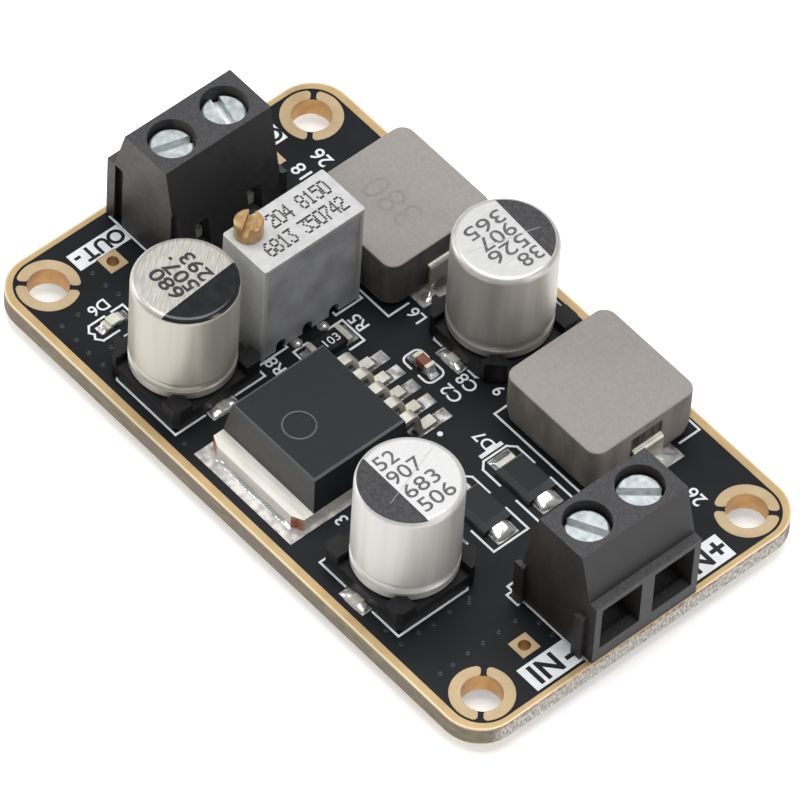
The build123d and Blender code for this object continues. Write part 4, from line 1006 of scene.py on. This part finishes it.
def powder_material(name, side_low, side_high):
    """Coated top with a fine grain, and darker walls where the normal lies level, partly the body's own
    colour under the coat and partly painted shade.
    """
    material = finish(
        name, paint(151, 146, 141), paint(161, 156, 151), (0.6, 0.75), 4.0,
        bump=0.4, depth=0.02, shine=0.3,
    )
    tree = material.node_tree
    streak = placed(tree, 0.8, (1, 1, 0.3), 3).outputs["Mask"]
    wall = ranged(tree, axis_size(tree, "Normal", "Z"), 1.0, 0.0, 0.3, 0.8)
    recolour(material, wall, blended(tree, streak, side_low, side_high))
    return material


# The output inductor's walls are darker still: painted shade from the cans beside it.
powders = {
    "input": powder_material("input_powder", paint(116, 110, 104), paint(142, 136, 129)),
    "output": powder_material("shaded_output_powder", paint(72, 71, 69), paint(104, 102, 98)),
}
# The input inductor's end walls are burnished dark above the straps, up to a
# little below the rim.
burnish_low, burnish_high = coil_y - 1.55, coil_y + 1.55
burnish_top = seat + 3.9
side_fade = 0.08
top_fade = 0.1
tree = powders["input"].node_tree
sideways = axis_value(tree, "Object", "Y")
burnished = crossed(
    tree,
    ranged(tree, sideways, 0.0, 1.0, burnish_low * MM, (burnish_low + side_fade) * MM),
    ranged(tree, sideways, 1.0, 0.0, (burnish_high - side_fade) * MM, burnish_high * MM),
    ranged(tree, axis_value(tree, "Object", "Z"), 1.0, 0.0, burnish_top * MM, (burnish_top + top_fade) * MM),
    ranged(tree, axis_size(tree, "Normal", "X"), 0.0, 1.0, 0.9, 0.95),
)
drawn = placed(tree, 3.2, (1, 1, 0.08), 4).outputs["Mask"]
recolour(powders["input"], burnished, blended(tree, drawn, paint(34, 31, 30), paint(92, 87, 81)))
for end, x in coils.items():
    block = smooth(joined(
        f"{end}_inductor_block", [pressed_block(x)], powders[end],
    ))
    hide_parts(f"{end}_inductor_body")
    dress(tinned, f"{end}_inductor_straps")
coil_ink = finish("coil_ink", paint(137, 132, 127), paint(150, 145, 140), (0.5, 0.6), 3.0, bump=0.2)
print_lift = 0.01
coil_number = words_shape(
    "380", -11.2, 9.2, 180, 2.4, seat + coil_height + print_lift, length=4.6, bold=-0.012,
)
joined("inductor_number", [coil_number], coil_ink)

# Chip parts. A resistor, a ceramic capacitor and the indicator, each a small
# block with tinned ends.
glaze = finish("resistor_glaze", paint(24, 24, 26), paint(34, 34, 36), (0.2, 0.32), 1.5, bump=0.1, shine=0.35)
tan = finish("capacitor_ceramic", paint(124, 66, 48), paint(150, 88, 66), (0.35, 0.5), 2.0, bump=0.2)
laminate = finish("indicator_laminate", paint(208, 210, 198), paint(226, 227, 218), (0.4, 0.5), 2.0, bump=0.1)
resin = finish("indicator_resin", paint(214, 218, 202), paint(230, 232, 222), (0.15, 0.25), 1.0, bump=0.1)
dress(glaze, "resistor_body")
dress(tan, "chip_capacitor_body")
dress(laminate, "indicator_base")
dress(resin, "indicator_lens")
dress(tinned, "resistor_ends", "chip_capacitor_ends", "indicator_ends")
resistor_height = 0.55
resistor_number = words_shape("103", -6.6, -0.35, 90, 0.7, seat + resistor_height + print_lift, length=1.35)
joined("resistor_number", [resistor_number], ink)
